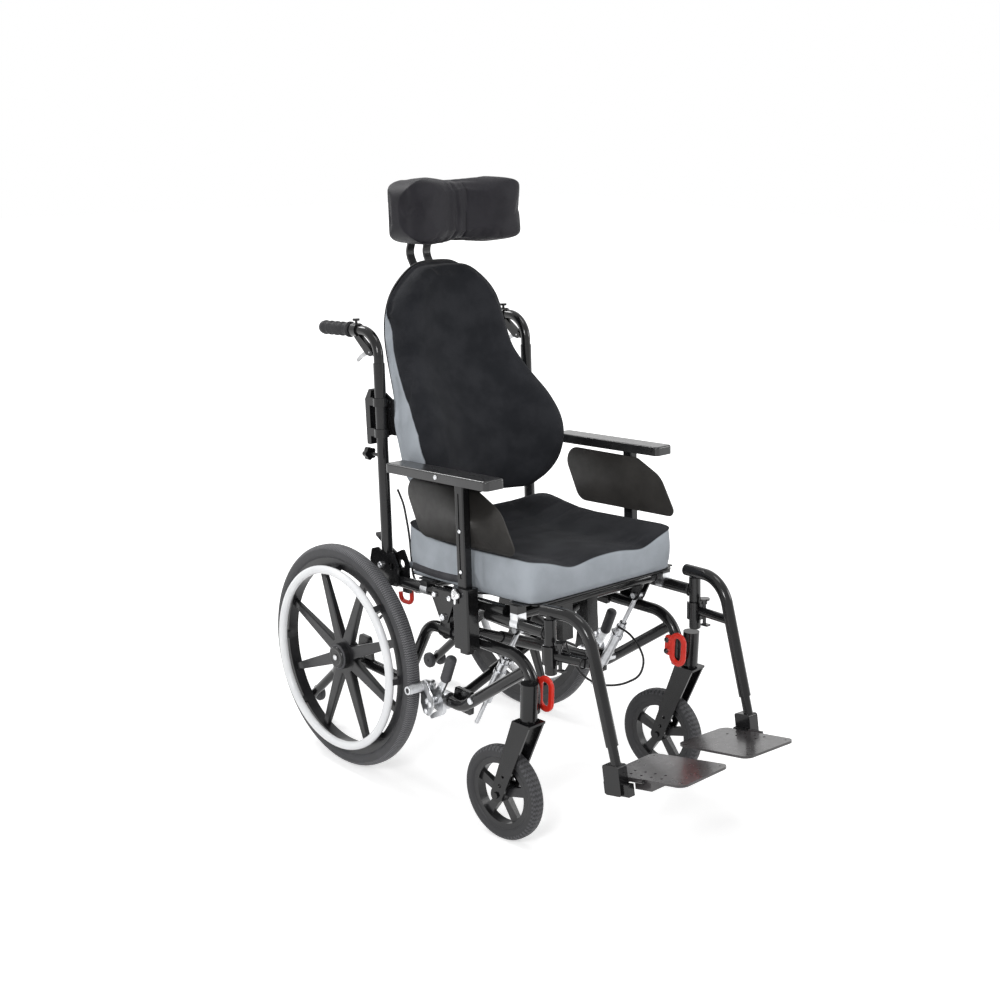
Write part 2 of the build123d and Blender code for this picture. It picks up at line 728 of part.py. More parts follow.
def underseat_channel(x):
    """Channel section hanging from the front cross tube."""
    top = -cross_drop
    outer = block(x - 15, x + 15, front_cross_y - 12, front_cross_y + 12, top - 82, top)
    return outer - block(x - 11, x + 11, front_cross_y - 8, front_cross_y + 14, top - 90, top - 14)


def hook_tab():
    """Short tab under the rail's rear end that holds the rear tie-down hook."""
    return block(side_x - tube_r - 4, side_x - 6, -62, -42, -26, -8.6)


def rear_hook():
    """Red rear tie-down hook below the rail."""
    x1 = side_x - tube_r - 4
    path = [(x1 - 6, -52, -12), (x1 - 6, -52, -54), (x1 - 6, -14, -54), (x1 - 6, -12, -34)]
    return rod(path, 10, 13) + cyl_x(x1 - 9, x1, -52, -17, 14)


def tilt_plates():
    """Inner and outer triangular plates bolted to the rail, hanging on the tilt bolt."""
    py, pz = chair_to_seat(pivot_y, pivot_z)
    plates = []
    for x0 in (side_x + tube_r, side_x - tube_r - tilt_plate_t):
        face = make_hull((Pos(py, pz) * Circle(15)).edges() + (Pos(py + 26, 0) * Circle(13)).edges()
                         + (Pos(py - 24, 0) * Circle(13)).edges())
        plate = Plane(origin=(x0, 0, 0), x_dir=(0, 1, 0), z_dir=(1, 0, 0)) * extrude(face, tilt_plate_t)
        plate -= cyl_x(x0 - 1, x0 + 9, py, pz, pivot_bolt_d + 2 * fit)
        for dy in (26, -24):
            plate -= cyl_x(x0 - 1, x0 + 9, py + dy, 0, 6)
        plates.append(plate)
    return plates


def back_base_plates():
    """Inner and outer plates that hold the cane's foot on the rail."""
    outline = [(-56, -8), (-56, 40), (-40, 70), (-14, 58), (14, 72), (34, 66), (42, 40), (16, -8)]
    plates = []
    for x0 in (side_x + tube_r + side_gap, side_x - tube_r - side_gap - back_plate_t):
        plate = side_plate(outline, x0, x0 + back_plate_t, 6)
        plate -= cyl_x(x0 - 1, x0 + 9, 0, recline_z, bolt_d + 2 * fit)
        plate -= Pos(x0 + 2, -34, 36) * Rot(0, 90, 0) * Cylinder(9, 12)
        plate += cyl_x(x0, x0 + back_plate_t, -46, 2, 12)
        plates.append(plate)
    return plates


def seat_pan():
    """Folded seat pan with side lips, carried by the saddle clamps."""
    middle = (pan_front + pan_rear) / 2
    plate = Pos(0, middle, pan_z + pan_t / 2) * Box(2 * pan_half, pan_rear - pan_front, pan_t)
    plate = fillet(plate.edges().filter_by(Axis.Z), 14)
    wing = Pos(0, 0, pan_z + pan_t / 2)
    for y in clamp_ys:
        plate += wing * Pos(0, y, 0) * Box(2 * pan_half + 36, 46, pan_t)
    for x in (-150, -50, 50, 150):
        plate += Pos(x, middle, pan_z - 2) * Box(16, pan_rear - pan_front - 70, 4)
    return plate


def pan_clamps():
    """Silver saddles that hook the pan on the rails."""
    clamps = []
    for y in clamp_ys:
        z = 0 if y > rail_lap[0] else front_rail_height(y)
        ring = cyl_y(y - clamp_w / 2, y + clamp_w / 2, side_x, z, tube_d + 2 * clamp_t)
        ring -= block(side_x - 30, side_x + 30, y - 30, y + 30, z - 30, z - 6)
        foot = block(side_x - 12, side_x + 12, y - clamp_w / 2, y + clamp_w / 2, z, pan_z)
        rail = rod([(side_x, y + 30, z - (front_slope() if z else 0) * 30),
                    (side_x, y - 30, z + (front_slope() if z else 0) * 30)], tube_d)
        clamps.append(ring + foot - rail - cyl_x(0, side_x - 4, front_cross_y, -cross_drop, tube_d))
    return clamps


def seat_bolts():
    """Tilt bolts, plate bolts and lock pins of one side."""
    py, pz = chair_to_seat(pivot_y, pivot_z)
    reach = tube_r + tilt_plate_t
    bolts = [bolt_x(side_x - reach, side_x + reach, py, pz, pivot_bolt_d)]
    for dy in (26, -24):
        for x0, x1 in ((side_x + tube_r, side_x + reach), (side_x - reach, side_x - tube_r)):
            out = x1 if x1 > side_x else x0
            sign = 1 if x1 > side_x else -1
            bolts.append(cyl_x(x0, x1, py + dy, 0, 6) + cyl_x(
                min(out, out + 3 * sign), max(out, out + 3 * sign), py + dy, 0, 11))
    bolts.append(bolt_x(lock_x - 8 - side_gap - 4, lock_x + 8 + side_gap + 4, *lock_pin))
    base_reach = tube_r + side_gap + back_plate_t
    bolts.append(bolt_x(side_x - base_reach, side_x + base_reach, 0, recline_z))
    return bolts


def cable_clips():
    """Clips that hold the release cable: under the rear cross tube and on the right base plate."""
    inner = side_x - tube_r - side_gap - back_plate_t
    under = block(-172, -156, rear_cross_y - 7, rear_cross_y + 7, -29, -cross_drop - 4)
    under -= cyl_x(-180, -150, rear_cross_y, -cross_drop, tube_d)
    beside = block(-inner, -180, -50, -40, 26, 40)
    cable = seat_frame_place.inverse() * release_cable()
    return [under - cable, beside - cable]


def seat_cushion():
    """Contoured seat cushion: raised rear, two thigh troughs."""
    z0 = pan_z + pan_t + soft_gap
    outline = [(cushion_rear, z0), (cushion_front, z0), (cushion_front, z0 + cushion_front_h),
               (cushion_front + 60, z0 + cushion_front_h + 6), (-190, z0 + 72), (-120, z0 + 76),
               (cushion_rear, z0 + cushion_rear_h)]
    slab = Plane(origin=(-cushion_half, 0, 0), x_dir=(0, 1, 0), z_dir=(1, 0, 0)) * extrude(
        make_face(Polyline(*outline[:1], *outline[1:], close=True)), 2 * cushion_half)
    side_rise = [(cushion_rear, z0), (cushion_front, z0), (cushion_front, z0 + cushion_front_h),
                 (cushion_rear, z0 + cushion_rear_h)]
    for x in (-cushion_half, cushion_half - 52):
        slab += Plane(origin=(x, 0, 0), x_dir=(0, 1, 0), z_dir=(1, 0, 0)) * extrude(
            make_face(Polyline(*side_rise, close=True)), 52)
    slab = fillet(slab.edges().filter_by(Axis.Z), 14)
    for x in (-105, 105):
        slab -= Pos(x, -330, z0 + cushion_front_h + 62) * Rot(90, 0, 0) * Cylinder(78, 420)
    return slab


# ---- back (in the seat unit's frame)
back_rear_line = [(-41, 140), (-38, 270), (-8, 390), (33, 480), (58, 560), (62, 640), (57, 720)]
# height, half width, front of the side wings, front of the hollowed middle, half width at the rear
back_sections = [(163, 120, -122, -96, 116), (190, 158, -142, -98, 155), (225, 192, -150, -98, 187),
                 (275, 214, -151, -90, 198), (330, 211, -142, -74, 198), (400, 192, -96, -48, 186),
                 (480, 176, -36, -16, 172), (560, 160, -17, -3, 157), (620, 138, -8, 4, 135),
                 (660, 104, -1, 9, 101), (686, 59, 7, 14, 56)]


def rear_y(z):
    """Y of the back support's rear surface at height z, between the points of its line."""
    for (y0, z0), (y1, z1) in zip(back_rear_line, back_rear_line[1:]):
        if z <= z1:
            return y0 + (z - z0) / (z1 - z0) * (y1 - y0)
    return back_rear_line[-1][0]


def ahead_of(offset):
    """Everything ahead of the back support's rear surface moved back by an offset."""
    line = [(y + offset, z) for y, z in back_rear_line]
    front = -260
    edge = Spline(*line) + Polyline(line[-1], (front, line[-1][1]), (front, line[0][1]), line[0])
    return Plane(origin=(-240, 0, 0), x_dir=(0, 1, 0), z_dir=(1, 0, 0)) * extrude(make_face(edge), 480)


def back_section(z, half, wing, middle, rear_half):
    """Plan of the back cushion at one height: two lobes in front, a hollow between them."""
    rear = rear_y(z) + 12
    right = [(rear_half * 0.55, rear), (rear_half, rear - 20), (half, wing + 44), (half * 0.87, wing),
             (half * 0.5, (wing + middle) / 2)]
    left = [(-x, y) for x, y in reversed(right)]
    return Pos(0, 0, z) * make_face(Spline(*right, (0, middle), *left, periodic=True))


def back_cushion():
    """Back cushion: waisted outline with deep lower wings and a hollowed middle."""
    return loft([back_section(*row) for row in back_sections]) & ahead_of(0)


def back_outline(inset):
    """Front view of the back support, half width against height."""
    right = [(rear_half - inset, z) for z, half, wing, middle, rear_half in back_sections]
    top = (0, back_sections[-1][0] + 10 - inset)
    left = [(-x, z) for x, z in reversed(right)]
    edge = Spline(*right, top, *left) + Line(left[-1], right[0])
    return Plane(origin=(0, 120, 0), x_dir=(1, 0, 0), z_dir=(0, -1, 0)) * extrude(make_face(edge), 300)


def back_shell():
    """Moulded shell behind the cushion, with side flanges for the cane brackets."""
    skin = ahead_of(soft_gap + shell_t) - ahead_of(soft_gap)
    low, high = flange_zs
    wide = block(-bracket_x(), bracket_x(), -60, 60, low, high)
    flange = block(bracket_x() - 4, bracket_x(), -60, 8, low, high) - ahead_of(soft_gap)
    return (skin & (back_outline(6) + wide)) + flange + mirror(flange, about=Plane.YZ)


def bracket_x():
    """Inner face of the slotted bracket plates."""
    return side_x - tube_r - side_gap - 4


def back_brackets():
    """Slotted bracket plates and clamps that hang the shell on the canes, with their levers."""
    x0 = bracket_x()
    plate = side_plate([(-26, 326), (0, 318), (12, 324), (12, 408), (2, 416), (-26, 400)], x0, x0 + 4, 4)
    for i in range(5):
        plate -= cyl_x(x0 - 1, x0 + 5, -16, 335 + 15.5 * i, 7)
    lever = side_plate([(30, 300), (44, 300), (46, 400), (30, 424), (22, 420), (30, 392)],
                       side_x - 8, side_x + 8, 3)
    bracket = plate + lever
    for z in (328, 396):
        bracket += cyl_z(z - 9, z + 9, side_x, 0, tube_d + 8)
        bracket += block(side_x - 9, side_x + 9, 0, 36, z - 9, z + 9)
    star = extrude(Circle(12) + [Rot(0, 0, 72 * i) * Pos(9, 0) * Circle(6) for i in range(5)], 12)
    knob = Plane(origin=(side_x, 44, 277), x_dir=(1, 0, 0), z_dir=(0, 1, 0)) * star
    knob += cyl_y(0, 46, side_x, 277, 8)
    lug = tapered_bar(8, 92, 26, 30, 96, 10, side_x - 4, side_x + 4)
    return [part - cyl_z(60, cane_top, side_x, 0, tube_d) for part in (bracket, knob, lug)]


def cane():
    """Back cane: straight tube, open at the top for the push handle."""
    tube = cyl_z(cane_bottom, cane_top, side_x, 0, tube_d)
    tube -= cyl_z(cane_top - handle_tuck - 110, cane_top + 1, side_x, 0, handle_d + 2 * fit)
    return tube - cyl_x(side_x - 20, side_x + 20, 0, recline_z, bolt_d + 2 * fit)


def push_handle():
    """Bent handle tube that telescopes in the cane, with the trigger's clamp and bracket."""
    path = [(side_x, 0, cane_top - handle_tuck), (side_x, 0, handle_z), (side_x, grip_rear - 6, handle_z)]
    tube = rod(path, handle_d, handle_bend)
    ring = cyl_y(66, 84, side_x, handle_z, handle_d + 8)
    knob = cyl_z(handle_z + 12, handle_z + 20, side_x, 75, 6) + cyl_z(
        handle_z + 20, handle_z + 25, side_x, 75, 16)
    body = [(84, handle_z - 8), (62, handle_z - 10), (30, 516), (14, 502), (22, 494), (38, 498), (74, 530)]
    bracket = side_plate(body, side_x - 6, side_x + 6, 3)
    bracket -= block(side_x - 3, side_x + 3, 10, 52, 480, 512)
    bracket -= cyl_x(side_x - 9, side_x + 9, 26, 503, 4 + 2 * fit)
    return tube + ring + knob + bracket


def grip():
    """Grip sleeve with a closed end and finger ridges."""
    front = grip_rear - grip_len
    sleeve = cyl_y(front, grip_rear, side_x, handle_z, grip_d)
    sleeve = fillet(sleeve.edges().group_by(Axis.Y)[-1], 6)
    for i in range(4):
        y = front + 26 + 18 * i
        sleeve -= cyl_y(y, y + 8, side_x, handle_z, grip_d + 4, grip_d - 3)
    sleeve += cyl_y(front, front + 6, side_x, handle_z, grip_d + 5)
    return sleeve - cyl_y(front - 1, grip_rear - 6, side_x, handle_z, handle_d)


def trigger():
    """Curved tilt-release trigger with its pin."""
    outline = [(20, 500), (28, 509), (46, 504), (64, 495), (78, 483), (74, 479), (60, 488), (42, 496),
               (28, 497)]
    lever = side_plate(outline, side_x - 3 + side_gap, side_x + 3 - side_gap)
    return lever + cyl_x(side_x - 6, side_x + 6, 26, 503, 4)


# ---- head support (in the seat unit's frame)
def headrest_bars():
    """Two curved flat bars from the clamp behind the shell to the pad's hinge."""
    route = [(80, 526), (80, 634), (122, 704), (100, 756), pad_hinge]
    bars = []
    for x in (-bar_x, bar_x):
        path = FilletPolyline(*[(x, y, z) for y, z in route], radius=[60, 30, 24])
        section = Plane(origin=path @ 0, z_dir=path % 0, x_dir=(1, 0, 0)) * Rectangle(bar_w, bar_t)
        bars.append(sweep(section, path=path))
    hub = cyl_x(-bar_x - bar_w / 2, bar_x + bar_w / 2, *pad_hinge, 16)
    return bars[0] + bars[1] + hub - cyl_x(-50, 50, *pad_hinge, 6 + 2 * fit)


def headrest_clamp():
    """Clamp block on the shell in which the head support slides."""
    clamp = block(-44, 44, 40, 92, 552, 604) - ahead_of(soft_gap + shell_t)
    for x in (-bar_x, bar_x):
        clamp -= block(x - bar_w / 2 - side_gap, x + bar_w / 2 + side_gap,
                       80 - bar_t / 2 - side_gap, 80 + bar_t / 2 + side_gap, 540, 620)
    return clamp + cyl_y(90, 106, 0, 578, 26)


def headrest_pad():
    """Curved head pad with two lobes, on its hinge ears."""
    front = [(-pad_half, -48), (-86, -52), (0, -38), (86, -52), (pad_half, -48)]
    rear = [(pad_half, 36), (0, 36), (-pad_half, 36)]
    edge = Spline(*front) + Line(front[-1], rear[0]) + Polyline(*rear) + Line(rear[-1], front[0])
    pad = Pos(0, pad_y, pad_z - pad_h / 2) * extrude(make_face(edge), pad_h)
    pad = fillet(pad.edges().filter_by(Axis.Z).group_by(Axis.Y)[0], 26)
    pad = fillet(pad.edges().filter_by(Axis.Z).filter_by_position(Axis.Y, 10, 60).group_by(Axis.X)[0]
                 + pad.edges().filter_by(Axis.Z).filter_by_position(Axis.Y, 10, 60).group_by(Axis.X)[-1], 34)
    pad = fillet(pad.edges().group_by(Axis.Z)[-1] + pad.edges().group_by(Axis.Z)[0], 20)
    back = pad_y + 36
    reach = bar_x + bar_w / 2 + side_gap
    y, z = pad_hinge
    ear = block(reach, reach + 5, back - 1, y, z - 8, z + 8) + cyl_x(reach, reach + 5, y, z, 16)
    pin = cyl_x(-reach - 5, reach + 5, y, z, 6)
    return pad + ear + mirror(ear, about=Plane.YZ) + pin


# ---- armrests (in the seat unit's frame)
def arm_post():
    """Square post that slides in the socket."""
    post = block(arm_x - post_w / 2, arm_x + post_w / 2, arm_y - post_d / 2, arm_y + post_d / 2,
                 arm_post_bottom, arm_pad_top - arm_pad_t)
    post = fillet(post.edges().filter_by(Axis.Z), 3)
    groove = block(arm_x + post_w / 2 - 1.5, arm_x + post_w / 2 + 1, arm_y - 3, arm_y + 3,
                   socket_top + 20, arm_pad_top - arm_pad_t - 20)
    return post - groove


def arm_pad():
    """Long flat arm pad with rounded ends."""
    pad = block(arm_x - arm_pad_w / 2, arm_x + arm_pad_w / 2, arm_pad_front, arm_pad_rear,
                arm_pad_top - arm_pad_t, arm_pad_top)
    pad = fillet(pad.edges().filter_by(Axis.Z), 10)
    return fillet(pad.edges().group_by(Axis.Z)[-1], 4)


def skirt_guard():
    """Flat guard bolted to the inner face of the post."""
    outline = [(-94, 238), (-112, 171), (-148, 128), (-262, 124), (-435, 123.5), (-448, 147),
               (-408, 204), (-356, 243.6), (-160, 252)]
    x1 = arm_x - post_w / 2
    return side_plate(outline, x1 - guard_t, x1, 10)


def arm_lock():
    """Chrome lock lever on the socket's outer face."""
    x0 = arm_x + socket_w / 2 + side_gap
    y = arm_y + 8
    z = socket_top - 14
    dial = cyl_x(x0, x0 + 8, y, z, 20)
    return dial + tapered_bar(y, z, 10, y + 2, z - 20, 7, x0 + 3, x0 + 8)


# ---- leg supports (in the seat unit's frame)
def hanger_route(extra=0.0):
    """Centre line of the hanger tube, lengthened along its down run."""
    run = Vector(*hanger_end) - Vector(*hanger_corner)
    end = Vector(*hanger_end) + run.normalized() * extra
    return [hanger_start, hanger_corner, tuple(end)]


def on_hanger(t):
    """Point of the down run's axis at distance t above its lower end."""
    run = Vector(*hanger_corner) - Vector(*hanger_end)
    return tuple(Vector(*hanger_end) + run.normalized() * t)


def hanger():
    """Swing-away hanger: bent tube, lower crossbar, post collar and top pin."""
    tube = rod(hanger_route(), tube_d, hanger_bend)
    tube += rod([(side_x, post_y - 14, cross_z), on_hanger(161)[:1] + (-632, cross_z)], 20)
    collar = cyl_z(cross_z - 19, cross_z + 19, side_x, post_y, tube_d + 10)
    collar += block(side_x - 12, side_x + 12, post_y - 18, post_y, cross_z - 19, cross_z + 19)
    collar -= cyl_z(cross_z - 20, cross_z + 20, side_x, post_y, tube_d + 2 * side_gap)
    collar -= block(side_x - tube_r + 2, side_x + tube_r - 2, post_y, post_y + 30, cross_z - 20, cross_z + 20)
    tube += collar
    tube += cyl_z(post_bottom + 60, hanger_start[2], side_x, post_y, tube_d - 9.3 - 2 * fit)
    tube -= rod([on_hanger(-5), on_hanger(foot_tube_in + 22)], hanger_bore)
    return tube - cyl_z(cross_z - 30, cross_z + 30, side_x, knob_y, 8 + 2 * fit)


def release_plunger():
    """Sprung release plunger through the crossbar, with a mushroom head and a hooked foot."""
    top = cross_z + 31
    stem = cyl_z(cross_z - 26, top, side_x, knob_y, 8) + cyl_z(top - 4, top, side_x, knob_y, 24)
    stem += cyl_z(cross_z + 10 + 8.5, top, side_x, knob_y, 13)
    hook = block(side_x - 6, side_x + 6, knob_y - 12, knob_y + 6, cross_z - 30, cross_z - 26)
    return stem + hook


def footrest_tube():
    """Inner tube that telescopes in the hanger."""
    return rod([on_hanger(foot_tube_in), on_hanger(-foot_tube_out)], foot_tube_d)


# The footplate's frame: x across the chair, y rearward from its front edge, z above its top face
foot_place = (Pos(hanger_end[0], -690, 0) * Rot(0, 0, -plate_toe_in) * Pos(-hanger_end[0], 690 + plate_front,
              plate_top_z) * Rot(-plate_tilt, 0, 0))


def hinge_span():
    """Extent of the footplate's knuckle along the hinge."""
    return (heel_d[0] - 34, heel_d[0] - side_gap)


def heel_block():
    """Heel block at the tube's foot with the footplate's hinge pin, in the footplate's frame."""
    body = block(*heel_x, *heel_d, *heel_h)
    body = fillet(body.edges().filter_by(Axis.X), 5)
    body += block(heel_x[0] + 3, heel_x[1] - 5, heel_d[0] - 16, heel_d[1] + 6, heel_h[0], heel_h[0] + 24)
    knuckle = cyl_y(*heel_d, hinge_x, -plate_t / 2, 9) + block(hinge_x, heel_x[0] + 1, *heel_d, -7, 2)
    pin = cyl_y(hinge_span()[0] - 3, heel_d[1], hinge_x, -plate_t / 2, 5)
    return body + knuckle + pin


def footplate():
    """Flip-up footplate with rounded corners, mounting holes, an under bracket and its knuckle."""
    width = plate_outer - plate_inner
    sheet = extrude(RectangleRounded(width, plate_depth, 18), plate_t)
    sheet = Pos((plate_outer + plate_inner) / 2, plate_depth / 2, -plate_t) * sheet
    for y in (62, 88, 114, 140):
        for x in (18, 38):
            sheet -= cyl_z(-9, 1, plate_outer - x, y + x / 3, 6)
    for x, y in ((plate_inner + 14, 14), (plate_outer - 14, 14), (plate_inner + 14, plate_depth - 14)):
        sheet -= cyl_z(-9, 1, x, y, 4)
    sheet -= block(plate_outer - 1.5, plate_outer + 1, heel_d[0] - 0.5, heel_d[1] + 0.5, -9, 1)
    sheet += block(plate_outer - 62, plate_outer - 4, 84, 126, -24, -plate_t)
    y0, y1 = hinge_span()
    sheet += cyl_y(y0, y1, hinge_x, -plate_t / 2, 9) + block(plate_outer - 4, hinge_x, y0, y1, -7, -0.5)
    return sheet - cyl_y(y0 - 1, y1 + 1, hinge_x, -plate_t / 2, 5 + 2 * fit)


# ---- release cable (in the chair's frame): from the left tilt lock to the right cane
def release_cable():
    """Sheathed cable, whole, along its route under the seat."""
    seat_run = [(-14, -330, -60), (-62, -250, -24), (-146, -132, -23), (-178, -62, -23), (-184, -46, 6),
                (-186, -42, 100), (-186, -26, 168), (-192, -14, 200)]
    route = [(152, -444, 353), (151, -478, 349), (148, -512, 331), (143, -537, 303), (130, -537, 268),
             (104, -505, 244), (74, -468, 240), (44, -446, 262), (20, -436, 300), (4, -431, 340)]
    route += [(x, *seat_to_chair(y, z)) for x, y, z in seat_run]
    return rod(route, cable_d, [cord_radius(route, i) for i in range(1, len(route) - 1)])


def cord_radius(route, i):
    """Bend radius at a point of a cord's route: 0.45 of the shorter run over the half turn's tangent."""
    before = Vector(*route[i]) - Vector(*route[i - 1])
    after = Vector(*route[i + 1]) - Vector(*route[i])
    turn = math.radians(before.get_angle(after))
    radius = 0.45 * min(before.length, after.length) / math.tan(turn / 2)
    print("cable bend", i, round(radius, 1))
    return radius


# ---- write the nodes
write_pair("rear_tyre", rear_tyre())
write_pair("rear_rim", rear_rim())
write_pair("handrim", handrim_ring(handrim_d))
for side in ("left", "right"):
    write("caster_fork_" + side, about_swivel(caster_fork(), side), about_swivel(caster_axle(), side))
    write("caster_tyre_" + side, about_swivel(caster_tyre(), side))
    write("caster_rim_" + side, about_swivel(caster_rim(), side))
write_pair("side_frame", side_frame())
write("cross_brace", cross_brace())
write("anti_tip_tubes", both(anti_tip_tube()))
write_pair("anti_tip_wheels", anti_tip_wheels())
write("tie_down_loops", both(tie_down_loop()))
axle_pin = cyl_x(side_x - tube_r - 8, wheel_x + hub_out - 1, 0, axle_z, axle_d)
axle_nut = cyl_x(side_x - tube_r - 8, side_x - tube_r, 0, axle_z, 22)
brace_centre = cyl_y(brace_y - brace_step() - brace_d / 2 - 4, brace_y + brace_sleeve_d / 2 + 4, 0,
                     (brace_low_z + brace_high_z) / 2, bolt_d)
write("base_hardware", both(axle_pin + axle_nut, brake_clamp(), brake_bolt(), lock_bolt(), loop_bolts()),
      brace_centre)
write_pair("wheel_lock", wheel_lock())
write_pair("tilt_lock_body", lock_body())
write_pair("tilt_lock_rod", lock_rod())

write("seat_frame", seat_frame(), seat=True)
write("seat_frame_plates", both(tilt_plates(), back_base_plates()), seat=True)
write("seat_pan", seat_pan(), seat=True)
write("seat_hardware", both(pan_clamps(), seat_bolts()), cable_clips(), seat=True)
write("seat_cushion", seat_cushion(), seat=True)
write("tie_down_hooks", both(rear_hook()), seat=True)
write("release_cable", release_cable())

write("back_canes", both(cane(), back_brackets()), seat=True)
write("back_shell", back_shell(), headrest_clamp(), seat=True)
write("back_cushion", back_cushion(), seat=True)
write("headrest_bars", headrest_bars(), seat=True)
write("headrest_pad", headrest_pad(), seat=True)
write_pair("push_handle", push_handle(), seat=True)
write_pair("grip", grip(), seat=True)
write_pair("trigger", trigger(), seat=True)

write_pair("arm_post", arm_post(), seat=True)
write_pair("arm_pad", arm_pad(), seat=True)
write_pair("skirt_guard", skirt_guard(), seat=True)
write_pair("arm_lock", arm_lock(), seat=True)
write_pair("hanger", hanger(), seat=True)
write_pair("release_plunger", release_plunger(), seat=True)
foot_in_seat = seat_frame_place.inverse() * foot_place
write_pair("footrest_tube", footrest_tube() + foot_in_seat * heel_block(), seat=True)
write_pair("footplate", foot_place * footplate())
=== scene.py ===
import math
import bpy
import bmesh
import numpy as np
from mathutils import Matrix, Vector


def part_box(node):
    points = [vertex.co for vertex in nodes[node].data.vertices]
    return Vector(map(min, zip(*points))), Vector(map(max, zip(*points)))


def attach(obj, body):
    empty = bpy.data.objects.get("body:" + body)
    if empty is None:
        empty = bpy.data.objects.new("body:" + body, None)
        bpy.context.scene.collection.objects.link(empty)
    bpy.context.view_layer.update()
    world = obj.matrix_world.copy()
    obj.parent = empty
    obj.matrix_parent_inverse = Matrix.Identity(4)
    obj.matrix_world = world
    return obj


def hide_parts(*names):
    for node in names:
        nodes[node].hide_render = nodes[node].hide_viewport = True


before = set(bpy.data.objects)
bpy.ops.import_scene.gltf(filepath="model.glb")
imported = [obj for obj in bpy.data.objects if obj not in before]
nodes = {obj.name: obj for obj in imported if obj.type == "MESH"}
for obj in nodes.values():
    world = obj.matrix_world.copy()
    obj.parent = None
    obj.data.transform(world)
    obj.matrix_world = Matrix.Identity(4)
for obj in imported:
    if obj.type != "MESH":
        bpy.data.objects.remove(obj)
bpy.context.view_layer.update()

# A tilt-in-space wheelchair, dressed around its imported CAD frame. Metres, +Z up, the chair faces -Y. Places
# and sizes of pieces are written in millimetres, which chair, seat, lathe, tube, screw and weld turn into
# metres. Modifiers, the cloth's and the reliefs' travel and the materials' patterns are written in metres.

SIDES = {"left": 1.0, "right": -1.0}
AXLE_Y = 333.75          # the rear axle in the row frame
AXLE_Z = 257.0           # its height, which is the rear tyres' radius
CASTER_R = 101.6         # radius of the caster tyres
SEAT_Y = AXLE_Y - 85.0   # origin of the seat unit's frame, which leans back by the slope
SEAT_Z = 451.0
SEAT_SLOPE = math.radians(4.19)
SEAT_UP = np.array([0.0, math.sin(SEAT_SLOPE), math.cos(SEAT_SLOPE)])
SEAT_BACK = np.array([0.0, math.cos(SEAT_SLOPE), -math.sin(SEAT_SLOPE)])
RAIL_X = 217.0           # middle of the side tubes, the seat's rails and the push handles
WELD_R = 12.9            # a weld's middle, just outside a 25.4 mm tube
FOCAL = 1534.2           # focal length in pixels, for a picture 1000 pixels wide
SENSOR = 36.0            # Blender's sensor width, mm


# ---- numbers
def unit(vectors):
    """Vectors divided by their lengths."""
    vectors = np.asarray(vectors, float)
    return vectors / np.linalg.norm(vectors, axis=-1, keepdims=True)


def full_turn(steps):
    """The angles of a full turn in even steps."""
    return np.linspace(0, 2 * np.pi, steps, endpoint=False)


def squared_circle(steps, power):
    """Cosine and sine of a full turn, each raised to a power with its sign kept: under 1 squares it off."""
    return [np.sign(v) * np.abs(v) ** power for v in (np.cos(full_turn(steps)), np.sin(full_turn(steps)))]


def smooth_step(x, low, high):
    """0 below low, 1 above high, and 3t^2 - 2t^3 of the share t of the way between."""
    t = np.clip((np.asarray(x, float) - low) / (high - low), 0.0, 1.0)
    return t * t * (3.0 - 2.0 * t)


def hump(x, middle, width):
    """A bell, 1 at the middle: e to the power of minus the square of (x - middle) / width."""
    return np.exp(-((x - middle) / width) ** 2)


def link(name, data):
    """A new object of the scene."""
    obj = bpy.data.objects.new(name, data)
    bpy.context.scene.collection.objects.link(obj)
    return obj


def stand(obj, where, right, up, ahead):
    """Stand a camera or lamp at a place: its X along right, its Y along up, and it looks ahead."""
    turn = np.eye(4)
    turn[:3, 0], turn[:3, 1], turn[:3, 2], turn[:3, 3] = right, up, -ahead, where
    obj.matrix_world = Matrix(turn.tolist())


# ---- camera, where the photograph was taken from
def place_camera():
    """Camera fitted to the photograph: its heading from +Y towards +X, its pitch and its roll, in degrees."""
    heading, pitch, roll = (math.radians(a) for a in (42.19, -15.08, 1.17))
    look = np.array([math.sin(heading) * math.cos(pitch), math.cos(heading) * math.cos(pitch),
                     math.sin(pitch)])
    level = np.array([math.cos(heading), -math.sin(heading), 0.0])
    top = np.cross(level, look)
    data = bpy.data.cameras.new("camera")
    data.sensor_width = SENSOR
    data.lens = FOCAL * SENSOR / 1000.0
    camera = link("camera", data)
    stand(camera, (-2.2247, -2.33095, 1.5144), level * math.cos(roll) + top * math.sin(roll),
          top * math.cos(roll) - level * math.sin(roll), look)
    bpy.context.scene.camera = camera


place_camera()


# ---- places
def chair(points):
    """Millimetres measured from the rear axle and the ground, as metres in the row frame."""
    p = np.asarray(points, float)
    return np.stack([p[..., 0], p[..., 1] + AXLE_Y, p[..., 2]], -1) / 1000.0


def seat(points):
    """Millimetres in the seat unit's frame, turned by its slope, as metres in the row frame."""
    p = np.asarray(points, float)
    c, s = math.cos(SEAT_SLOPE), math.sin(SEAT_SLOPE)
    return np.stack([p[..., 0], SEAT_Y + p[..., 1] * c + p[..., 2] * s,
                     SEAT_Z - p[..., 1] * s + p[..., 2] * c], -1) / 1000.0


def to_seat(points):
    """The inverse of seat: metres in the row frame, as millimetres in the seat unit's frame."""
    p = np.asarray(points, float) * 1000.0
    c, s = math.cos(SEAT_SLOPE), math.sin(SEAT_SLOPE)
    y, z = p[..., 1] - SEAT_Y, p[..., 2] - SEAT_Z
    return np.stack([p[..., 0], y * c - z * s, y * s + z * c], -1)


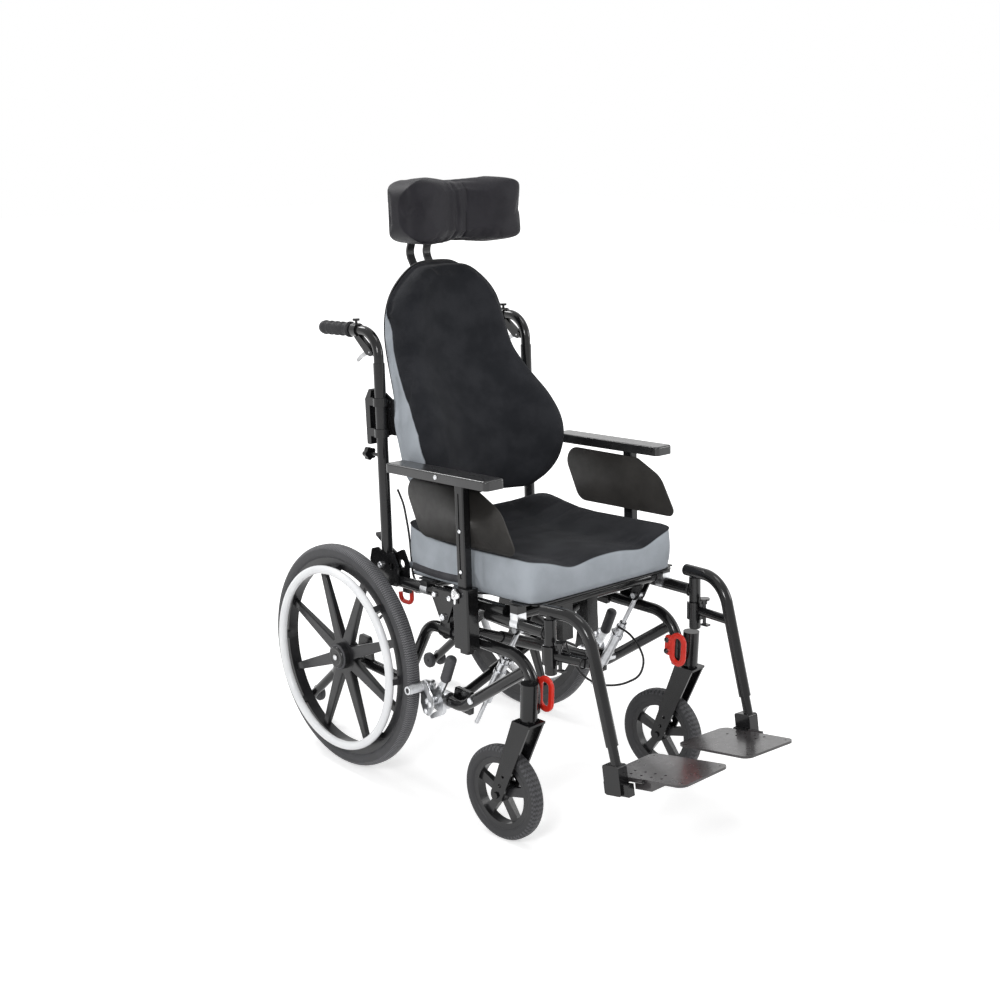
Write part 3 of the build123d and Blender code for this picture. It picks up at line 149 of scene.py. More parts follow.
# ---- shader maths
class Wire:
    """A shader socket whose operators add Math nodes."""

    def __init__(self, tree, socket):
        self.tree = tree
        self.socket = socket

    def math(self, operation, *others):
        return self.tree.node("Math", (self, *others), operation=operation)

    def __add__(self, other):
        return self.math("ADD", other)

    def __sub__(self, other):
        return self.math("SUBTRACT", other)

    def __mul__(self, other):
        return self.math("MULTIPLY", other)

    def __rsub__(self, other):
        return (self * -1.0) + other

    __radd__ = __add__
    __rmul__ = __mul__

    def ramp(self, low, high):
        """0 below low, 1 above high, smooth between."""
        return self.tree.node("MapRange", {"Value": self, "From Min": low, "From Max": high},
                              interpolation_type="SMOOTHSTEP", out="Result")

    def wave(self, pitch):
        """A sine with one wave for each pitch."""
        return (self * (2 * math.pi / pitch)).math("SINE")


class Tree:
    """The nodes of a material or of the world."""

    def __init__(self, owner):
        owner.use_nodes = True
        self.tree = owner.node_tree

    def feed(self, socket, value):
        """A link from a Wire, or else the socket's own value."""
        if isinstance(value, Wire):
            self.tree.links.new(value.socket, socket)
        else:
            socket.default_value = value

    def node(self, kind, inputs=(), out=0, **settings):
        """A node of a kind: its settings, then its sockets' values or links. Returns one of its outputs."""
        made = self.tree.nodes.new("ShaderNode" + kind)
        for key, value in settings.items():
            setattr(made, key, value)
        for key, value in inputs.items() if isinstance(inputs, dict) else enumerate(inputs):
            self.feed(made.inputs[key], value)
        return Wire(self, made.outputs[out])

    def outputs(self, kind, inputs, *names):
        """Several outputs of one node."""
        made = self.node(kind, inputs).socket.node
        return [Wire(self, made.outputs[name]) for name in names]

    def direct(self):
        """1 for the camera's own rays and for those that a glossy surface sends on, otherwise 0."""
        camera, glossy = self.outputs("LightPath", (), "Is Camera Ray", "Is Glossy Ray")
        return camera.math("MAXIMUM", glossy)

    def coordinates(self, centre=(0.0, 0.0, 0.0), stretch=(1.0, 1.0, 1.0)):
        """Object coordinates less the centre, times the stretch."""
        moved = self.node("Mapping", {"Vector": self.node("TexCoord", out="Object"),
                                      "Location": tuple(-c for c in centre)})
        return self.node("Mapping", {"Vector": moved, "Scale": stretch})

    def parts(self, vector):
        """The three components of a vector."""
        return self.outputs("SeparateXYZ", [vector], "X", "Y", "Z")

    def noise(self, scale, detail, vector=None):
        """Cloudy noise: its scale in cells for each metre, and how many finer layers it has."""
        return self.node("TexNoise", {"Vector": vector or self.coordinates(), "Scale": scale,
                                      "Detail": detail})

    def mix(self, factor, a, b):
        """Colour a turning into colour b."""
        a, b = ((*c, 1.0) if isinstance(c, tuple) else c for c in (a, b))
        return self.node("Mix", {0: factor, 6: a, 7: b}, out=2, data_type="RGBA")


class Finish(Tree):
    """A material round one Principled shader; what is the same all over goes straight on its sockets."""

    def __init__(self, name, color, roughness, metallic=0.0, **constants):
        self.material = bpy.data.materials.new(name)
        super().__init__(self.material)
        self.shader = self.tree.nodes["Principled BSDF"]
        self.give(Base_Color=(*color, 1.0), Roughness=roughness, Metallic=metallic, **constants)

    def give(self, **values):
        """Values or links for the shader's sockets, with an underscore for each space in a name."""
        for key, value in values.items():
            self.feed(self.shader.inputs[key.replace("_", " ")], value)
        return self

    def bump(self, height, depth):
        """Relief: a height of 1 stands out by the depth, in metres."""
        return self.give(Normal=self.node("Bump", {"Strength": 1.0, "Distance": depth, "Height": height}))


# ---- finishes
def shade(color, share):
    """A colour times a share."""
    return tuple(c * share for c in color)


def powder(name, low, high, rough):
    """Powder coat: clouds of a second shade, uneven gloss and faint orange peel."""
    f = Finish(name, low, rough, Coat_Weight=0.15, Coat_Roughness=0.08, Specular_IOR_Level=0.3)
    f.give(Base_Color=f.mix(f.noise(9.0, 4.0).ramp(0.4, 0.7), low, high),
           Roughness=f.noise(40.0, 3.0) * 0.16 + (rough - 0.08))
    return f.bump(f.noise(620.0, 1.0), 0.00006)


def bare_metal(name, color, rough, scratch=(1.0, 1.0, 1.0)):
    """Plated or turned metal: fine scratches, drawn out where scratch is small, and small dull patches."""
    f = Finish(name, color, rough, 1.0)
    cloud = f.noise(60.0, 5.0)
    f.give(Base_Color=f.mix(cloud.ramp(0.35, 0.75), color, shade(color, 0.75)),
           Roughness=cloud * 0.25 + (rough - 0.1))
    return f.bump(f.noise(900.0, 2.0, f.coordinates(stretch=scratch)), 0.00004)


def partly_bare(f, covered, bright, dull, cover):
    """Cloudy bare metal, and a plain colour where covered is 1; returns the clouds."""
    cloud = f.noise(60.0, 5.0)
    metal = f.mix(cloud.ramp(0.35, 0.75), bright, dull)
    f.give(Base_Color=f.mix(covered, metal, cover), Metallic=1.0 - covered)
    return cloud


def moulded(name, low, high, rough, grain=900.0, depth=0.00008, coat=0.0):
    """Moulded plastic or rubber: fine spark-eroded grain and soft cloudy wear."""
    f = Finish(name, low, rough, Coat_Weight=coat, Coat_Roughness=0.15, Specular_IOR_Level=0.3)
    f.give(Base_Color=f.mix(f.noise(14.0, 5.0).ramp(0.35, 0.7), low, high),
           Roughness=f.noise(70.0, 3.0) * 0.2 + (rough - 0.1))
    return f.bump(f.noise(grain, 1.0), depth)


def tyre_finish(name, centre, outer, blocks, low, high):
    """Tyre rubber round an axle along X. Tread: a sine of the angle, shifted from row to row, times a sine of
    the distance along the axle, on the crown. Wall: a sine of the radius, as rings."""
    row_pitch, ring_pitch = 0.0072, 0.0021
    shoulder, crown_edge = outer - 0.011, outer - 0.007
    f = Finish(name, low, 0.62)
    x, y, z = f.parts(f.coordinates(centre))
    radius = (y * y + z * z).math("SQRT")
    row = x.wave(row_pitch)
    block = (z.math("ARCTAN2", y) * float(blocks) + row * 1.4).math("SINE")
    crown = radius.ramp(shoulder, crown_edge)
    tread = (block * row).ramp(-0.25, 0.25) * crown
    wall = (radius.wave(ring_pitch) * 0.5 + 0.5) * (1.0 - crown)
    dust = f.noise(30.0, 5.0).ramp(0.4, 0.8)
    f.give(Base_Color=f.mix(tread * 0.8, f.mix(dust * 0.6, low, high), shade(high, 2.2)),
           Roughness=dust * 0.15 + 0.55)
    return f.bump(tread + wall * 0.12 + f.noise(800.0, 1.0) * 0.08, 0.0009)


def knit(f, ribs=1.0):
    """Relief of a fine stretch knit: two crossed rows of small ribs, and unevenness."""
    rib_pitch, course_pitch = 0.0021, 0.0019
    x, y, z = f.parts(f.coordinates())
    crossed = (x + y).wave(rib_pitch) * (z + y * 0.5).wave(course_pitch)
    return crossed * (0.5 * ribs) + f.noise(350.0, 3.0) * 0.5


def cover(name, dark, dark_high, pale, pale_high):
    """Two-coloured cover. The attribute "behind_seam" is the distance past the seam in metres; the panel
    behind the seam is pale, and the seam itself is a dark groove."""
    f = Finish(name, dark, 0.85, Sheen_Weight=0.04, Sheen_Roughness=0.4, Specular_IOR_Level=0.15)
    cloud = f.noise(18.0, 4.0)
    fleck = f.noise(1500.0, 2.0)
    behind = f.node("Attribute", attribute_name="behind_seam", out="Fac")
    seam = 1.0 - behind.math("ABSOLUTE").ramp(0.0006, 0.0026)
    first = f.mix(cloud.ramp(0.3, 0.7), dark, dark_high)
    second = f.mix((cloud + fleck * 0.7 - 0.35).ramp(0.3, 0.7), pale, pale_high)
    both = f.mix(behind.ramp(-0.0003, 0.0003), first, second)
    f.give(Base_Color=f.mix(seam * 0.6, both, shade(dark, 0.5)), Roughness=cloud * -0.1 + 0.9)
    return f.bump(knit(f) - seam * 1.2, 0.00035)


def stretch_cover(name, low, high, rough):
    """Dark stretch cover: soft sheen, cloudy wear, a fine knit, and a sunk seam where "seam" is high."""
    f = Finish(name, low, rough, Sheen_Weight=0.02, Sheen_Roughness=0.35, Specular_IOR_Level=0.14)
    seam = f.node("Attribute", attribute_name="seam", out="Fac").ramp(0.3, 0.8)
    cloud = f.noise(16.0, 5.0)
    f.give(Base_Color=f.mix(seam * 0.7, f.mix(cloud.ramp(0.3, 0.7), low, high), shade(low, 0.5)),
           Roughness=cloud * 0.2 + (rough - 0.1))
    return f.bump(knit(f, 0.6) - seam, 0.0003)


def brake_finish(name):
    """Zinc-plated lever parts below, ribbed grey rubber on the grip above. The border is square to the lever,
    at a height along it."""
    grip_start, grip_full, rib_pitch = 0.2598, 0.2604, 0.004
    f = Finish(name, (0.66, 0.67, 0.68), 0.3, 1.0)
    x, y, z = f.parts(f.coordinates())
    rubber = (y * -0.35 + z * 0.94).ramp(grip_start, grip_full)
    cloud = partly_bare(f, rubber, (0.7, 0.71, 0.72), (0.5, 0.51, 0.52), (0.045, 0.045, 0.05))
    f.give(Roughness=cloud * 0.2 + 0.22 + rubber * 0.25)
    return f.bump(z.wave(rib_pitch) * rubber * 0.5 + f.noise(700.0, 1.0) * 0.2, 0.0004)


def seat_fittings(name):
    """Zinc-plated fittings of the seat frame; the saddles' feet, between the rails and the pan, are
    near-black and not metal. Their height is measured square to the leaning rails."""
    foot_low, foot_high, foot_half, edge = 0.003, 0.0262, 0.2293, 0.0004
    f = Finish(name, (0.72, 0.73, 0.75), 0.3, 1.0)
    x, y, z = f.parts(f.coordinates((0.0, SEAT_Y / 1000.0, SEAT_Z / 1000.0)))
    height = y * math.sin(SEAT_SLOPE) + z * math.cos(SEAT_SLOPE)
    foot = height.ramp(foot_low, foot_low + edge) * (1.0 - height.ramp(foot_high, foot_high + edge))
    foot = foot * (1.0 - x.math("ABSOLUTE").ramp(foot_half, foot_half + 0.0003))
    cloud = partly_bare(f, foot, (0.72, 0.73, 0.75), (0.54, 0.55, 0.56), (0.012, 0.012, 0.013))
    f.give(Roughness=cloud * 0.25 + 0.2)
    return f.bump(f.noise(900.0, 2.0), 0.00004)


GLOSS_BLACK = powder("powder_coat_black", (0.006, 0.006, 0.0065), (0.012, 0.012, 0.013), 0.17)
SATIN_BLACK = powder("powder_coat_satin", (0.012, 0.012, 0.013), (0.02, 0.02, 0.021), 0.36)
RED = powder("powder_coat_red", (0.74, 0.035, 0.02), (0.66, 0.022, 0.012), 0.3)
ZINC = bare_metal("zinc_plate", (0.72, 0.73, 0.75), 0.3)
STEEL = bare_metal("brushed_steel", (0.62, 0.63, 0.65), 0.32, (1.0, 1.0, 0.08))
CHROME = bare_metal("chrome_plate", (0.8, 0.8, 0.81), 0.14)
ALLOY = bare_metal("grey_cast", (0.5, 0.505, 0.51), 0.36, (1.0, 1.0, 0.05))
HANDRIM = powder("handrim_silver", (0.92, 0.93, 0.94), (0.85, 0.86, 0.88), 0.24)
RIM_PLASTIC = moulded("rim_plastic", (0.010, 0.010, 0.011), (0.02, 0.02, 0.022), 0.34, coat=0.2)
SHELL = moulded("shell_plastic", (0.012, 0.012, 0.013), (0.02, 0.02, 0.022), 0.5)
GRIP_RUBBER = moulded("grip_rubber", (0.018, 0.018, 0.02), (0.035, 0.035, 0.037), 0.55, 500.0, 0.00015)
ARM_FOAM = moulded("arm_pad_foam", (0.012, 0.012, 0.013), (0.024, 0.024, 0.025), 0.3, 700.0, 0.0001, 0.5)
GUARD = moulded("skirt_guard_plastic", (0.032, 0.030, 0.028), (0.05, 0.047, 0.044), 0.42, 800.0, 0.0001)
PLATE = moulded("footplate_plastic", (0.03, 0.027, 0.028), (0.055, 0.05, 0.052), 0.3, 600.0, 0.00008, 0.5)
CABLE = moulded("cable_sheath", (0.008, 0.008, 0.009), (0.015, 0.015, 0.016), 0.35)
SMALL_WHEEL = moulded("small_wheel_rubber", (0.05, 0.05, 0.055), (0.08, 0.08, 0.085), 0.5)
HEAD_VINYL = stretch_cover("head_cover", (0.010, 0.0095, 0.0125), (0.019, 0.018, 0.022), 0.5)
ZIP_TAPE = moulded("zip_tape", (0.03, 0.03, 0.034), (0.06, 0.06, 0.066), 0.7, 1200.0, 0.0002)
GLOSS_PLASTIC = moulded("cap_plastic", (0.008, 0.008, 0.009), (0.014, 0.014, 0.015), 0.18, 500.0, 0.00003,
                        0.4)
COVER = cover("cover_fabric", (0.012, 0.013, 0.016), (0.022, 0.023, 0.027), (0.36, 0.39, 0.425),
              (0.43, 0.465, 0.505))


def coat(finish, *names):
    """Give CAD nodes a finish."""
    for name in names:
        node = nodes[name]
        if not node.data.materials:
            node.data.materials.append(finish.material)
        for slot in node.material_slots:
            slot.material = finish.material


def pair(*names):
    """The left and the right node of each name."""
    return [f"{name}_{side}" for name in names for side in SIDES]


def middle(name):
    """Middle of a node's box."""
    return tuple((a + b) / 2 for a, b in zip(*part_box(name)))


coat(GLOSS_BLACK, "cross_brace", "anti_tip_tubes", "seat_frame", "seat_frame_plates", "back_canes",
     *pair("side_frame", "caster_fork", "push_handle", "hanger", "arm_post", "footrest_tube"))
coat(SATIN_BLACK, "headrest_bars", "seat_pan")
coat(ALLOY, *pair("trigger"))
coat(brake_finish("brake_parts"), *pair("wheel_lock"))
coat(RED, "tie_down_hooks")
coat(ZINC, "base_hardware")
coat(seat_fittings("seat_fittings"), "seat_hardware")
coat(GLOSS_PLASTIC, *pair("release_plunger"))
coat(STEEL, *pair("tilt_lock_body", "tilt_lock_rod"))
coat(CHROME, *pair("arm_lock"))
coat(HANDRIM, *pair("handrim"))
coat(RIM_PLASTIC, *pair("caster_rim"))
coat(SHELL, "back_shell")
coat(GRIP_RUBBER, *pair("grip"))
coat(ARM_FOAM, *pair("arm_pad"))
coat(PLATE, *pair("footplate"))
coat(CABLE, "release_cable")
coat(SMALL_WHEEL, *pair("anti_tip_wheels"))

for side in SIDES:
    coat(tyre_finish(f"rear_tyre_rubber_{side}", middle(f"rear_tyre_{side}"), AXLE_Z / 1000.0, 300,
                     (0.03, 0.03, 0.033), (0.08, 0.08, 0.085)), f"rear_tyre_{side}")
    coat(tyre_finish(f"caster_tyre_rubber_{side}", middle(f"caster_tyre_{side}"), CASTER_R / 1000.0, 60,
                     (0.016, 0.016, 0.018), (0.034, 0.034, 0.037)), f"caster_tyre_{side}")


# ---- meshes
def new_mesh(name, points, faces):
    """A smooth mesh from an array of points and a list of faces."""
    mesh = bpy.data.meshes.new(name)
    mesh.from_pydata(np.asarray(points, float).tolist(), [], faces)
    mesh.shade_smooth()
    mesh.update()
    return mesh


def grid_faces(rows, columns, close_rows=False, close_columns=True):
    """Quads of a grid of points, listed row by row; a closed way round joins its last points to its first."""
    i = np.arange(rows if close_rows else rows - 1)[:, None]
    j = np.arange(columns if close_columns else columns - 1)[None, :]
    i2, j2 = (i + 1) % rows, (j + 1) % columns
    quads = np.stack([i * columns + j, i * columns + j2, i2 * columns + j2, i2 * columns + j], -1)
    return quads.reshape(-1, 4).tolist()


def ring_faces(rings, around):
    """Quads between rings of points, and one face over each end."""
    ends = [list(range(around))[::-1], list(range((rings - 1) * around, rings * around))]
    return grid_faces(rings, around) + ends


def outward(mesh):
    """The mesh with its faces turned outwards."""
    bm = bmesh.new()
    bm.from_mesh(mesh)
    bmesh.ops.recalc_face_normals(bm, faces=bm.faces)
    bm.to_mesh(mesh)
    bm.free()
    return mesh


def dress(obj, finish, body, slot, *replaced):
    """Material, body and the CAD nodes that the piece stands for; slot is not used."""
    obj.data.materials.clear()
    obj.data.materials.append(finish.material)
    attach(obj, body)
    if replaced:
        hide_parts(*replaced)


def read(values, key):
    """A mesh's points or normals as an array."""
    array = np.empty(len(values) * 3)
    values.foreach_get(key, array)
    return array.reshape(-1, 3)


def surface(mesh):
    """A mesh's points, its normals, and the points in the seat unit's frame."""
    points = read(mesh.vertices, "co")
    return points, read(mesh.vertex_normals, "vector"), to_seat(points)


def move_to(mesh, points):
    mesh.vertices.foreach_set("co", np.asarray(points, float).ravel())
    mesh.update()


def mark(mesh, name, values):
    """A number for each point, for a material to read."""
    layer = mesh.attributes.new(name, "FLOAT", "POINT")
    layer.data.foreach_set("value", np.asarray(values, np.float32))


def merged_copy(node, cut=None):
    """A node's mesh with its loose triangles joined, cut off behind a plane if one is given."""
    mesh = nodes[node].data.copy()
    bm = bmesh.new()
    bm.from_mesh(mesh)
    bmesh.ops.remove_doubles(bm, verts=bm.verts, dist=0.00002)
    if cut:
        bmesh.ops.bisect_plane(bm, geom=bm.verts[:] + bm.edges[:] + bm.faces[:], plane_co=cut[0],
                               plane_no=cut[1], clear_outer=True)
        bmesh.ops.holes_fill(bm, edges=bm.edges[:], sides=0)
    bm.to_mesh(mesh)
    bm.free()
    return mesh


def even_copy(node, name, cell, rounds, cut=None):
    """A node's form as an object, remeshed to even cells and smoothed."""
    obj = link(name, merged_copy(node, cut))
    remesh = obj.modifiers.new("even", "REMESH")
    remesh.mode = "VOXEL"
    remesh.voxel_size = cell
    soften = obj.modifiers.new("soften", "SMOOTH")
    soften.factor = 0.5
    soften.iterations = rounds
    graph = bpy.context.evaluated_depsgraph_get()
    mesh = bpy.data.meshes.new_from_object(obj.evaluated_get(graph), depsgraph=graph)
    obj.modifiers.clear()
    obj.data = mesh
    return obj


CLOTH = {"quality": 4, "mass": 0.2, "tension_stiffness": 12.0, "compression_stiffness": 12.0,
         "shear_stiffness": 5.0, "bending_stiffness": 0.6, "use_pressure": True,
         "uniform_pressure_force": 4.0}
CLOTH_FRAMES = 20


def swell(obj, inset, cap, free):
    """Shrinks the form by inset, lets cloth under air pressure swell it, each point moving no further than
    cap, and scales the travel by free, a function of the normals that is 0 where the cover is held."""
    mesh = obj.data
    start = read(mesh.vertices, "co")
    facing = read(mesh.vertex_normals, "vector")
    hold = free(facing)[:, None]
    start = start - facing * inset * hold
    move_to(mesh, start)
    travel = facing * inset
    cloth = obj.modifiers.new("swell", "CLOTH")
    for key, value in CLOTH.items():
        setattr(cloth.settings, key, value)
    cloth.settings.effector_weights.gravity = 0.0
    cloth.collision_settings.use_collision = False
    cloth.point_cache.frame_start = 1
    cloth.point_cache.frame_end = CLOTH_FRAMES
    for step in range(1, CLOTH_FRAMES + 1):
        bpy.context.scene.frame_set(step)
    graph = bpy.context.evaluated_depsgraph_get()
    ready = obj.evaluated_get(graph).to_mesh()
    travel = read(ready.vertices, "co") - start
    obj.evaluated_get(graph).to_mesh_clear()
    obj.modifiers.remove(cloth)
    bpy.context.scene.frame_set(1)
    travel = travel - travel.mean(0)
    length = np.linalg.norm(travel, axis=1, keepdims=True)
    travel = travel * np.minimum(1.0, cap / np.maximum(length, 1e-9))
    move_to(mesh, start + travel * hold)


def subdivide(obj):
    """One live round of subdivision."""
    finer = obj.modifiers.new("finer", "SUBSURF")
    finer.levels = finer.render_levels = 1


# ---- back cushion, in the seat unit's frame
SEAM = np.array([[150, -100], [190, -118], [225, -128], [279, -133], [308, -125], [333, -116], [356, -98],
                 [379, -75], [402, -50], [426, -31], [453, -12], [479, 4], [504, 17], [542, 28], [580, 52],
                 [700, 90]], float)    # height and Y of the side seam
SEAM_TOP = 590
BACK_ROWS = [163, 190, 225, 275, 330, 400, 480, 560, 620, 660, 686]    # heights, foot to crown
BACK_HALF = [120, 158, 192, 214, 211, 192, 176, 160, 138, 104, 59]     # the CAD form's half width there
BACK_GAIN = [1, 1.01, 1.015, 1.02, 1.03, 1.03, 1.02, 1.02, 1.03, 1.04, 1]
FRONT_SHARE = 0.74       # the black front's share of the half width


def back_cushion():
    """The CAD form remeshed and swollen, and a little wider between foot and crown; the crown is domed by
    5 mm less 9 mm times the square of x / 90. The seam between the black front and the pale side panels is
    sunk, and soft lengthwise folds, sines of x, lie near it."""
    obj = even_copy("back_cushion", "back_cushion_cover", 0.0055, 20)
    swell(obj, 0.004, 0.007, lambda facing: 1.0 - smooth_step(facing[:, 1], 0.2, 0.7))
    points, facing, local = surface(obj.data)
    x, y, z = local.T
    behind = y - np.interp(z, SEAM[:, 0], SEAM[:, 1])
    behind = np.minimum(behind, np.abs(x) - FRONT_SHARE * np.interp(z, BACK_ROWS, BACK_HALF))
    seam = hump(behind, 0.0, 3.0) * (z < SEAM_TOP)
    x = x * np.interp(z, BACK_ROWS, BACK_GAIN)
    z = z + smooth_step(z, 600, BACK_ROWS[-1]) * (5.0 - 9.0 * (x / 90.0) ** 2)
    points = seat(np.stack([x, y, z], -1))
    fold = np.sin(x / 13.0 + np.sin(z / 70.0) * 1.2) * hump(np.abs(x), 150, 34.0)
    fold = fold * smooth_step(z, 180, 260) * (1 - smooth_step(z, 380, 470)) * (facing[:, 1] < 0)
    lift = fold * 0.0009 - seam * 0.0016
    move_to(obj.data, points + facing * lift[:, None])
    mark(obj.data, "behind_seam", np.clip(behind, -40, 40) / 1000.0)
    subdivide(obj)
    dress(obj, COVER, "back", "back_fabric", "back_cushion")


# ---- seat cushion, in the seat unit's frame
CUSHION_HALF, CUSHION_FRONT, CUSHION_REAR, CUSHION_FLOOR = 216.0, -471.0, -59.0, 23.6
CUSHION_ROWS = [0.0, 0.05, 0.112, 0.2, 0.3, 0.45, 0.6, 0.73, 0.845, 0.92, 1.0]  # shares, front to rear
CUSHION_RIM = [88, 89.5, 91, 90.5, 90, 89.5, 89, 92, 100, 107, 116]  # heights at the sides
CUSHION_HOLLOW = [71, 74.5, 76, 75.5, 74, 72, 71, 74, 81, 94, 110]  # and in the middle
CUSHION_AROUND = 400     # points in a ring


def cushion_top(x, y):
    """Height over the cushion's floor: rims along the sides, a hollow between them that is lower at the
    front, a trough for each thigh, a bell across that fades to the rear, and a raised rear."""
    t = (y - CUSHION_FRONT) / (CUSHION_REAR - CUSHION_FRONT)
    rim = np.interp(t, CUSHION_ROWS, CUSHION_RIM)
    hollow = np.interp(t, CUSHION_ROWS, CUSHION_HOLLOW)
    trough = 9.0 * hump(np.abs(x), 100.0, 46.0) * (1.0 - t) ** 0.6
    return hollow + (rim - hollow) * smooth_step(np.abs(x) / CUSHION_HALF, 0.45, 1.0) - trough


def cushion_outline():
    """A rounded rectangle of half width and half depth 1, |x|^13 + |y|^13 = 1, its points evenly apart."""
    x, y = squared_circle(CUSHION_AROUND, 2.0 / 13.0)
    gap = np.hypot(np.diff(x, append=x[0]), np.diff(y, append=y[0]))
    along = np.concatenate([[0], np.cumsum(gap)])
    at = np.linspace(0, along[-1], CUSHION_AROUND, endpoint=False)
    return np.interp(at, along, np.append(x, x[0])), np.interp(at, along, np.append(y, y[0]))


def seat_cushion():
    """Rings on the outline: the top from its middle out to the seam, the walls down with a belly, and the
    floor back to its middle; then cloth swells it between its seams, and the right wall gets a fold."""
    outline_x, outline_y = cushion_outline()
    middle_y = (CUSHION_FRONT + CUSHION_REAR) / 2
    deep = (CUSHION_REAR - CUSHION_FRONT) / 2
    rings, behind = [], []
    for r in np.linspace(0.01, 1.0, 56):
        x, y = outline_x * CUSHION_HALF * r, middle_y + outline_y * deep * r
        rings.append(np.stack([x, y, CUSHION_FLOOR + cushion_top(x, y)], -1))
        behind.append(np.full(CUSHION_AROUND, (r - 1.0) * 0.2))
    rim = rings[-1]
    tall = rim[:, 2] - CUSHION_FLOOR - 1.0
    for k in np.linspace(0.0, 1.0, 25)[1:]:
        belly = 1.0 + 0.010 * math.sin(math.pi * k) - 0.012 * k ** 6
        rings.append(np.stack([rim[:, 0] * belly, middle_y + (rim[:, 1] - middle_y) * belly,
                               rim[:, 2] - tall * k], -1))
        behind.append(tall * k / 1000.0)
    for r in np.linspace(0.96, 0.01, 16):
        rings.append(np.stack([outline_x * CUSHION_HALF * r, middle_y + outline_y * deep * r,
                               np.full(CUSHION_AROUND, CUSHION_FLOOR + 0.4)], -1))
        behind.append(np.full(CUSHION_AROUND, 0.08))
    points = seat(np.concatenate(rings))
    mesh = outward(new_mesh("seat_cushion_cover", points, ring_faces(len(rings), CUSHION_AROUND)))
    obj = link("seat_cushion_cover", mesh)
    behind = np.concatenate(behind)
    seam = hump(behind, 0.0, 0.002)
    hold = 1.0 - 0.8 * seam
    swell(obj, 0.002, 0.006, lambda facing: (1.0 - smooth_step(-facing[:, 2], 0.3, 0.8)) * hold)
    points, facing, local = surface(mesh)
    x, y, z = local.T
    wall = (behind > 0.001) * (1 - np.abs(facing[:, 2]))
    fold = (hump(y + 14 * np.sin(z / 22.0), -300, 7.0) - 0.7 * hump(y, -322, 6.0)) * (x < 0)
    slack = np.sin(x / 24.0) * np.sin(y / 31.0 + 1.0) * 0.25
    lift = wall * (fold * 0.0022 + slack * 0.0007) - seam * 0.0006
    move_to(mesh, points + facing * lift[:, None])
    mark(mesh, "behind_seam", behind)
    dress(obj, COVER, "seat", "seat_fabric", "seat_cushion")


# ---- head pad, in the seat unit's frame
PAD_HALF, PAD_TALL, PAD_MIDDLE, PAD_REAR = 172.0, 146.0, 799.0, 24.2


def head_pad():
    """The CAD pad's form, its rear cut off flat and its outline drawn in to x^4 + z^4 = 1 in half sizes, with
    pillowed lobes. A sunk seam and, to its right, slack folds are bells across x that bow with the height."""
    rear = seat((0.0, PAD_REAR, 0.0)).tolist(), SEAT_BACK.tolist()
    obj = even_copy("headrest_pad", "headrest_pad_cover", 0.0045, 28, rear)
    swell(obj, 0.003, 0.006, lambda facing: 1.0 - smooth_step(facing[:, 1], 0.2, 0.8))
    points, facing, local = surface(obj.data)
    right = smooth_step(-local[:, 0], 0.0, 171.0)
    across = local[:, 0] / (PAD_HALF * (1.0 - 0.018 * right))
    tall = (local[:, 2] - PAD_MIDDLE) / (PAD_TALL / 2 * (1.0 - 0.03 * right))
    over = np.maximum((np.abs(across) ** 4 + np.abs(tall) ** 4) ** 0.25, 1.0)
    x = across / over * PAD_HALF
    z = PAD_MIDDLE + tall / over * PAD_TALL / 2 + 1.5 * right
    points = seat(np.stack([x, local[:, 1], z], -1))
    ahead = smooth_step(-facing[:, 1], -0.2, 0.5)
    bow = (z - PAD_MIDDLE) / 72.0
    seam = hump(x, 4.0 + 3.0 * bow, 2.4)
    folds = (hump(x, -14.0 - 13.0 * bow ** 2, 6.0) + 0.9 * hump(x, -37.0 - 8.0 * bow ** 2, 8.0)
             - 1.1 * hump(x, -25.0 - 12.0 * bow ** 2, 4.5) - 0.5 * hump(x, -52.0 + 5.0 * bow, 6.0))
    pinch = hump(x, -4.0, 30.0)
    ends = hump(np.abs(x), 150.0, 16.0)
    front = folds * 0.0024 * (1 - 0.5 * np.abs(bow)) - seam * 0.0022 - pinch * 0.0025 + ends * 0.001
    edge = -0.0012 * pinch * (np.abs(facing[:, 2]) > 0.5)
    lift = ahead * front + (1 - ahead) * edge
    move_to(obj.data, points + facing * lift[:, None])
    mark(obj.data, "seam", seam * ahead)
    subdivide(obj)
    dress(obj, HEAD_VINYL, "head_pad", "head_vinyl", "headrest_pad")


# ---- shapes for the hard details: each gives its points in metres and its faces
def square_to(axis):
    """The axis at length 1, and two directions square to it and to each other."""
    axis = unit(axis)
    helper = (0.0, 0.0, 1.0) if abs(axis[2]) < 0.9 else (0.0, 1.0, 0.0)
    first = unit(np.cross(axis, helper))
    return axis, first, np.cross(axis, first)


def tube(path, radius, sides, reference):
    """A circle carried square to a path in metres, with a radius for each of its points."""
    way = unit(np.gradient(path, axis=0))
    first = unit(np.cross(way, reference))
    second = np.cross(way, first)
    turn = full_turn(sides)[None, :, None]
    ring = first[:, None] * np.cos(turn) + second[:, None] * np.sin(turn)
    points = path[:, None] + ring * radius[:, None, None] / 1000.0
    return points.reshape(-1, 3), ring_faces(len(path), sides)


def lathe(profile, centre, axis, sides, lobes=0, depth=0.0):
    """A (radius, height) profile turned round an axis from a centre. Lobes press waves into it: the radius is
    times 1 - depth * (1 + cos(lobes * angle)) / 2."""
    radius, height = np.asarray(profile, float).T / 1000.0
    axis, first, second = square_to(axis)
    turn = full_turn(sides)
    wave = 1.0 - depth * (0.5 + 0.5 * np.cos(lobes * turn))
    ring = first * np.cos(turn)[:, None] + second * np.sin(turn)[:, None]
    points = centre + (radius[:, None] * wave)[..., None] * ring + height[:, None, None] * axis
    return points.reshape(-1, 3), ring_faces(len(radius), sides)


